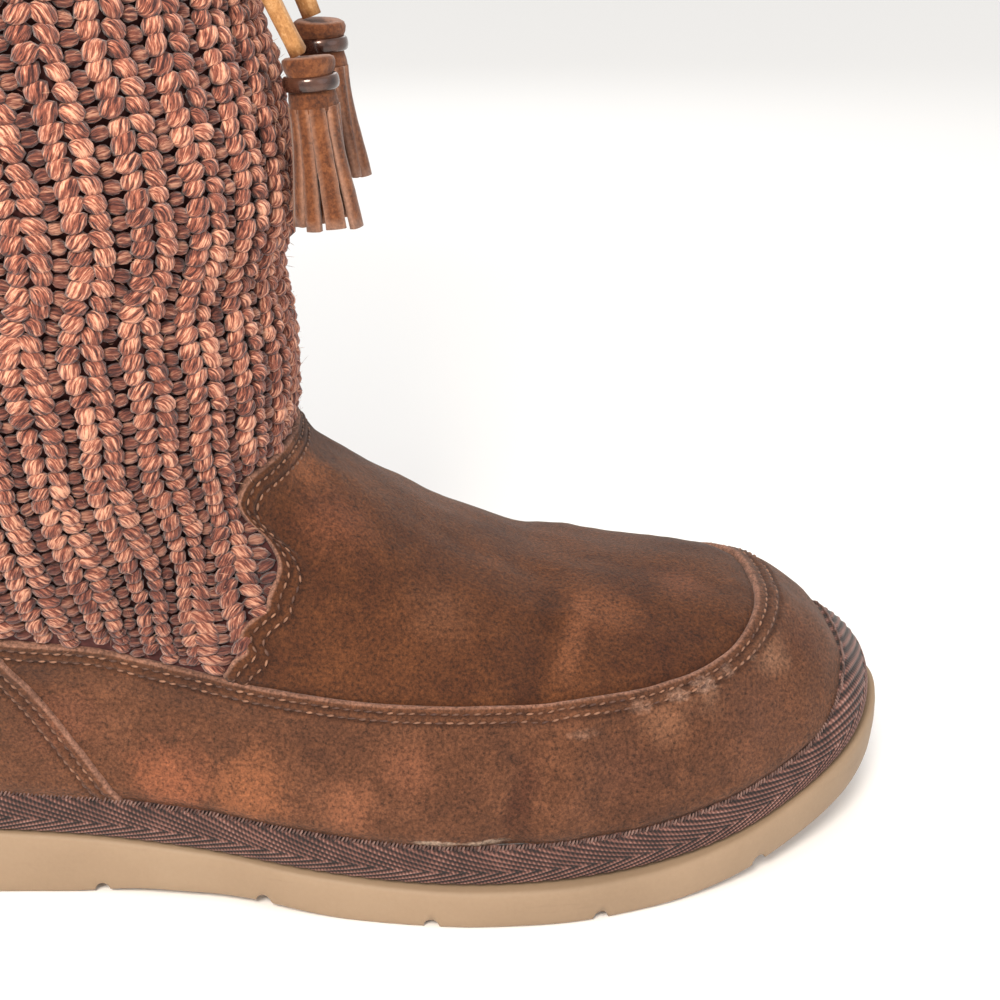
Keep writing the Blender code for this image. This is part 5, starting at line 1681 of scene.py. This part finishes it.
def hide(name, dark, body, light):
    """Vegetable-tanned thong: light tan, streaked along its length, with a fibrous raw side."""
    material, tree, shader = new_material(name, 0.72, 0.0, 1.45, 0.1)
    uv = node(tree, "ShaderNodeUVMap", uv_map="UVMap").outputs[0]
    long = node(tree, "ShaderNodeMapping", {0: uv, "Scale": (260.0, 7.0, 1.0)}).outputs[0]
    streaks = node(tree, "ShaderNodeTexNoise", {"Vector": long, "Scale": 1.0, "Detail": 4.0,
                                                "Roughness": 0.65}).outputs["Fac"]
    where = object_place(tree)
    grain = spots(tree, where, 1500.0, 3.0, 0.6)
    value = sums(tree, "MULTIPLY_ADD", streaks, 0.6, sums(tree, "MULTIPLY", grain, 0.4))
    tree.links.new(ramp(tree, value, [(0.30, dark), (0.50, body), (0.68, light)]),
                   shader.inputs["Base Color"])
    relief(tree, shader, value, 0.0004, 0.7)
    return material


def strip_suede(name):
    """Tassel suede: warm brown and grainy, pale and fibrous along its cut edges."""
    material, tree, shader = new_material(name, 0.9, 0.0, 1.45, 0.22)
    where = object_place(tree)
    grain = spots(tree, where, 1300.0, 3.0, 0.65)
    cloud = spots(tree, where, 190.0, 4.0, 0.6, 0.5)
    value = sums(tree, "MULTIPLY_ADD", grain, 0.5, sums(tree, "MULTIPLY", cloud, 0.5))
    colour = ramp(tree, value, [(0.36, "#3f1f0e"), (0.50, "#66381c"), (0.64, "#85502d")])
    raw = sums(tree, "MULTIPLY", tag(tree, "raw"), sums(tree, "MULTIPLY_ADD", grain, 0.8, 0.25), clamp=True)
    colour = blend(tree, sums(tree, "MULTIPLY", raw, 0.85), colour, hexed("#b08a76"))
    tree.links.new(colour, shader.inputs["Base Color"])
    relief(tree, shader, grain, 0.0003, 0.6)
    return material


def horn(name):
    """Dark polished clip: brown horn with a clear gloss."""
    material, tree, shader = new_material(name, 0.26, 0.35, 1.5, 0.0, 0.6)
    where = object_place(tree)
    cloud = spots(tree, where, 240.0, 3.0, 0.5, 0.6)
    tree.links.new(ramp(tree, cloud, [(0.35, "#2a140f"), (0.65, "#5b3a2c")]), shader.inputs["Base Color"])
    return material


def set_camera():
    """The photo's view: the boot's own frame, seen from its outer side and above."""
    a, e, r = (math.radians(v) for v in (CAMERA_AZIMUTH, CAMERA_ELEVATION, CAMERA_ROLL))
    back = Vector((math.sin(a) * math.cos(e), -math.cos(a) * math.cos(e), math.sin(e)))
    right = Vector((math.cos(a), math.sin(a), 0.0))
    up = back.cross(right)
    right, up = right * math.cos(r) + up * math.sin(r), up * math.cos(r) - right * math.sin(r)
    data = bpy.data.cameras.new("view of the photo")
    data.lens = CAMERA_LENS
    data.sensor_width = 36.0
    data.clip_start = 0.01
    data.clip_end = 20.0
    camera = bpy.data.objects.new("view of the photo", data)
    frame_of = Matrix((right, up, back)).transposed().to_4x4()
    frame_of.translation = Vector(CAMERA_TARGET) + back * CAMERA_DISTANCE
    camera.matrix_world = frame_of
    bpy.context.scene.collection.objects.link(camera)
    bpy.context.scene.camera = camera


def add_light(name, place_at, aim, size, power, colour):
    data = bpy.data.lights.new(name, "AREA")
    data.shape = "DISK"
    data.size = size
    data.energy = power
    data.color = hexed(colour)[:3]
    light = bpy.data.objects.new(name, data)
    light.location = place_at
    light.rotation_euler = (Vector(aim) - Vector(place_at)).to_track_quat("-Z", "Y").to_euler()
    bpy.context.scene.collection.objects.link(light)


def set_stage():
    """Pale floor, pale surroundings and soft lights from the front left and above."""
    mesh = bpy.data.meshes.new("floor")
    mesh.from_pydata([(-3, -3, 0), (3, -3, 0), (3, 3, 0), (-3, 3, 0)], [], [(0, 1, 2, 3)])
    floor = bpy.data.objects.new("floor", mesh)
    floor.location = (0.0, 0.0, -0.0001)
    bpy.context.scene.collection.objects.link(floor)
    material, _, shader = new_material("white studio floor", 0.9)
    shader.inputs["Base Color"].default_value = hexed("#fcfbfa")
    mesh.materials.append(material)
    world = bpy.data.worlds.new("studio")
    bpy.context.scene.world = world
    world.use_nodes = True
    world.node_tree.nodes["Background"].inputs["Color"].default_value = hexed("#fbfaf8")
    world.node_tree.nodes["Background"].inputs["Strength"].default_value = 0.90
    add_light("key", (-0.02, -0.52, 0.60), (0.02, 0.0, 0.13), 0.26, 5.5, "#fff4e6")
    add_light("fill", (0.95, -0.60, 0.55), (0.10, 0.0, 0.08), 0.9, 1.5, "#f2f6ff")
    add_light("back", (0.10, 0.95, 0.80), (0.05, 0.0, 0.15), 0.9, 2.0, "#ffffff")
    scene = bpy.context.scene
    scene.view_settings.view_transform = "Standard"
    scene.view_settings.look = "None"
    scene.view_settings.exposure = 0.0


def keep(piece, slot, *nodes):
    """Lets a piece stand for CAD nodes and ride on the boot; its slot is not used."""
    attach(piece, "root")
    if nodes:
        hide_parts(*nodes)
    return piece


def main():
    set_camera()
    # Cords: knot, thong ends, tassels and clips
    tan = hide("light tan thong leather", "#8a5c30", "#ba8550", "#dcb07c")
    tassel_finish = strip_suede("tassel suede")
    clip_finish = horn("dark polished horn")
    keep(make_collar_thong(tan), "thong_leather", "collar_thong")
    tied = {"front": [keep(make_knot(tan), "thong_leather", "thong_knot")], "side": []}
    middle, _, knot_along = knot_frame()
    for (where, cord), way, seed in zip(CORDS.items(), (1, -1), (4, 9)):
        start = middle + knot_along * END_SIDE * way - np.array([0.0, 0.0, END_DROP])
        line = smooth_route([start] + cord.route, 0.0028)
        thong = keep(tube_mesh("thong_to_" + where, line, thong_section(), tan),
                     "thong_leather", "thong_end_" + where)
        tassel = keep(make_tassel("tassel_of_" + where, cord, tassel_finish, seed),
                      "tassel_suede", "tassel_" + where)
        clip = keep(make_clip("clip_of_" + where, cord, clip_finish), "horn", "clip_" + where)

    # Sole, footbed and lining
    keep(make_sole(foam("moulded EVA foam")), "eva_foam", "outsole")
    fleece = plain_cloth("cream fleece", "#b59a78", "#dcc7a4", 520.0, 0.0012)
    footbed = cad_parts["insole"]
    footbed.data.materials.clear()
    footbed.data.materials.append(fleece)
    keep(make_lining(fleece), "lined_wall", "upper")

    # Suede panels with their stitches
    vamp_finish = suede("vamp suede", [(0.36, "#3d1f10"), (0.50, "#4c2a15"), (0.64, "#5c351c")], [
        ((0.1005, -0.010, 0.0928), 0.014, "#7d4a2c", 0.80),
        ((0.108, -0.019, 0.083), 0.018, "#70412a", 0.60),
        ((0.1295, -0.0289, 0.0647), 0.016, "#66402a", 0.60),
        ((0.167, -0.0180, 0.060), 0.017, "#6e4229", 0.70),
        ((0.186, -0.006, 0.059), 0.014, "#6e422c", 0.55),
        ((0.196, -0.012, 0.058), 0.012, "#4a2916", 0.50),
        ((0.128, 0.020, 0.070), 0.030, "#66402a", 0.50),
        ((0.150, 0.027, 0.060), 0.0085, "#2c140a", 0.60),
    # painted shade along a crease trough, and painted highlight along the ridge beside it
    ] + painted_crease_light((0.156, -0.011, 0.0665), (0.1485, -0.038, 0.0500), "#2f170b", 0.50)
        + painted_crease_light((0.163, -0.017, 0.0635), (0.1570, -0.035, 0.0530), "#7c4d33", 0.35))
    band_finish = suede("side suede", [(0.36, "#462a1c"), (0.50, "#573522"), (0.64, "#69422d")], [
        ((0.0706, -0.0403, 0.031), 0.020, "#8c5338", 0.80),
        ((0.0885, -0.0437, 0.031), 0.020, "#8e5738", 0.75),
        ((0.110, -0.049, 0.029), 0.014, "#855339", 0.70),
        ((0.1225, -0.049, 0.038), 0.012, "#7b4c35", 0.60),
        ((0.1687, -0.0455, 0.0353), 0.017, "#4f3022", 0.60),
        ((0.1780, -0.0400, 0.0440), 0.012, "#80573f", 0.60),
        # painted shade: a darker patch on the toe, where the light falls off
        ((0.1980, -0.0300, 0.0400), 0.020, "#513224", 0.60),
        ((0.2050, -0.0240, 0.0500), 0.010, "#805b45", 0.70),
        ((0.1870, -0.0330, 0.0455), 0.009, "#85604a", 0.65),
        # painted shade: a darker patch at the toe's tip, where the light falls off
        ((0.213, -0.0166, 0.0496), 0.013, "#4d2d20", 0.55),
        ((0.0477, -0.0375, 0.0458), 0.018, "#6c4230", 0.60),
        ((0.110, 0.050, 0.034), 0.030, "#7d5238", 0.60),
        ((0.150, 0.050, 0.034), 0.012, "#3d2016", 0.60),
    # painted shade along a crease trough
    ] + painted_crease_light((0.1500, -0.048, 0.0410), (0.1450, -0.0505, 0.0250), "#3a1d12", 0.50), [
        ((0.1280, -0.0515, 0.0215), 0.0110, (1.0, 1.0, 4.5), "#b59f8b", 0.70),
        ((0.1390, -0.0515, 0.0215), 0.0110, (1.0, 1.0, 5.0), "#b09a86", 0.60),
        ((0.1729, -0.0375, 0.0465), 0.0070, (1.0, 1.0, 2.0), "#93705e", 0.55),
        ((0.1810, -0.0350, 0.0475), 0.0070, (1.0, 1.0, 2.0), "#a07d6a", 0.60),
        ((0.1871, -0.0325, 0.0485), 0.0070, (1.0, 1.0, 1.8), "#a68574", 0.60),
        ((0.1925, -0.0290, 0.0495), 0.0060, (1.0, 1.0, 1.6), "#9a7a69", 0.55),
        ((0.1990, -0.0245, 0.0500), 0.0050, (1.0, 1.0, 1.5), "#93725f", 0.50),
        ((0.1600, -0.0430, 0.0435), 0.0080, (1.0, 1.0, 3.0), "#8c6a58", 0.45),
    ])
    thread_finish = thread("waxed thread", "#472a1e", "#94694f")
    template = lump("thread stitch", 3, 6, lambda u: math.sin(math.pi * u) ** 0.45, 0.25)
    band, band_outer = make_foxing(band_finish)
    keep(band, "suede", "foxing")
    counter, counter_outer = make_counter(band_finish)
    keep(counter, "suede", "heel_counter")
    vamp, vamp_outer = make_vamp(vamp_finish)
    keep(vamp, "suede", "vamp_plug")
    rows = [("band_stitches", band_outer[:, 12:-12], "top"), ("vamp_stitches", vamp_outer, "top"),
            ("counter_top_stitches", counter_outer, "top"),
            ("counter_outer_stitches", counter_outer[2:], "last"),
            ("counter_inner_stitches", counter_outer[2:], "first")]
    for name, outer, edge in rows:
        for number, distance in ((1, ROW_ONE), (2, ROW_TWO)):
            row = sew("%s_%d" % (name, number), outer, edge, distance, template, thread_finish)
            keep(row, "suede")
    bpy.data.objects.remove(template, do_unlink=True)

    # Tape
    tape, tape_outer = make_tape(twill("herringbone twill tape"))
    keep(tape, "twill", "binding_tape")
    keep(make_picot(tape_outer, thread("tape edge thread", "#3f2824", "#84665d")), "twill")

    # Knit
    # the ground's dark maroon is painted shade that shows in the gaps between the stitches
    keep(make_knit_ground(plain_cloth("maroon knit ground painted as shade", "#2b1214", "#5a2d29", 700.0, 0.0005)),
         "knit", "knit_shaft")
    yarn_finish = yarn("brushed melange yarn", "#381514", "#9a5642", "#f0b090")
    pieces, roots = make_knit_stitches(yarn_finish)
    for piece in pieces:
        keep(piece, "knit")
    fuzz_finish, tree, shader = new_material("loose brushed fibres", 0.8, 0.0, 1.5, 0.2)
    tree.links.new(ramp(tree, tag(tree, "shade"), [(0.0, "#6a3a32"), (0.5, "#a87058"), (1.0, "#e0b496")]),
                   shader.inputs["Base Color"])
    keep(make_fuzz(roots, fuzz_finish), "knit")

    set_stage()


main()
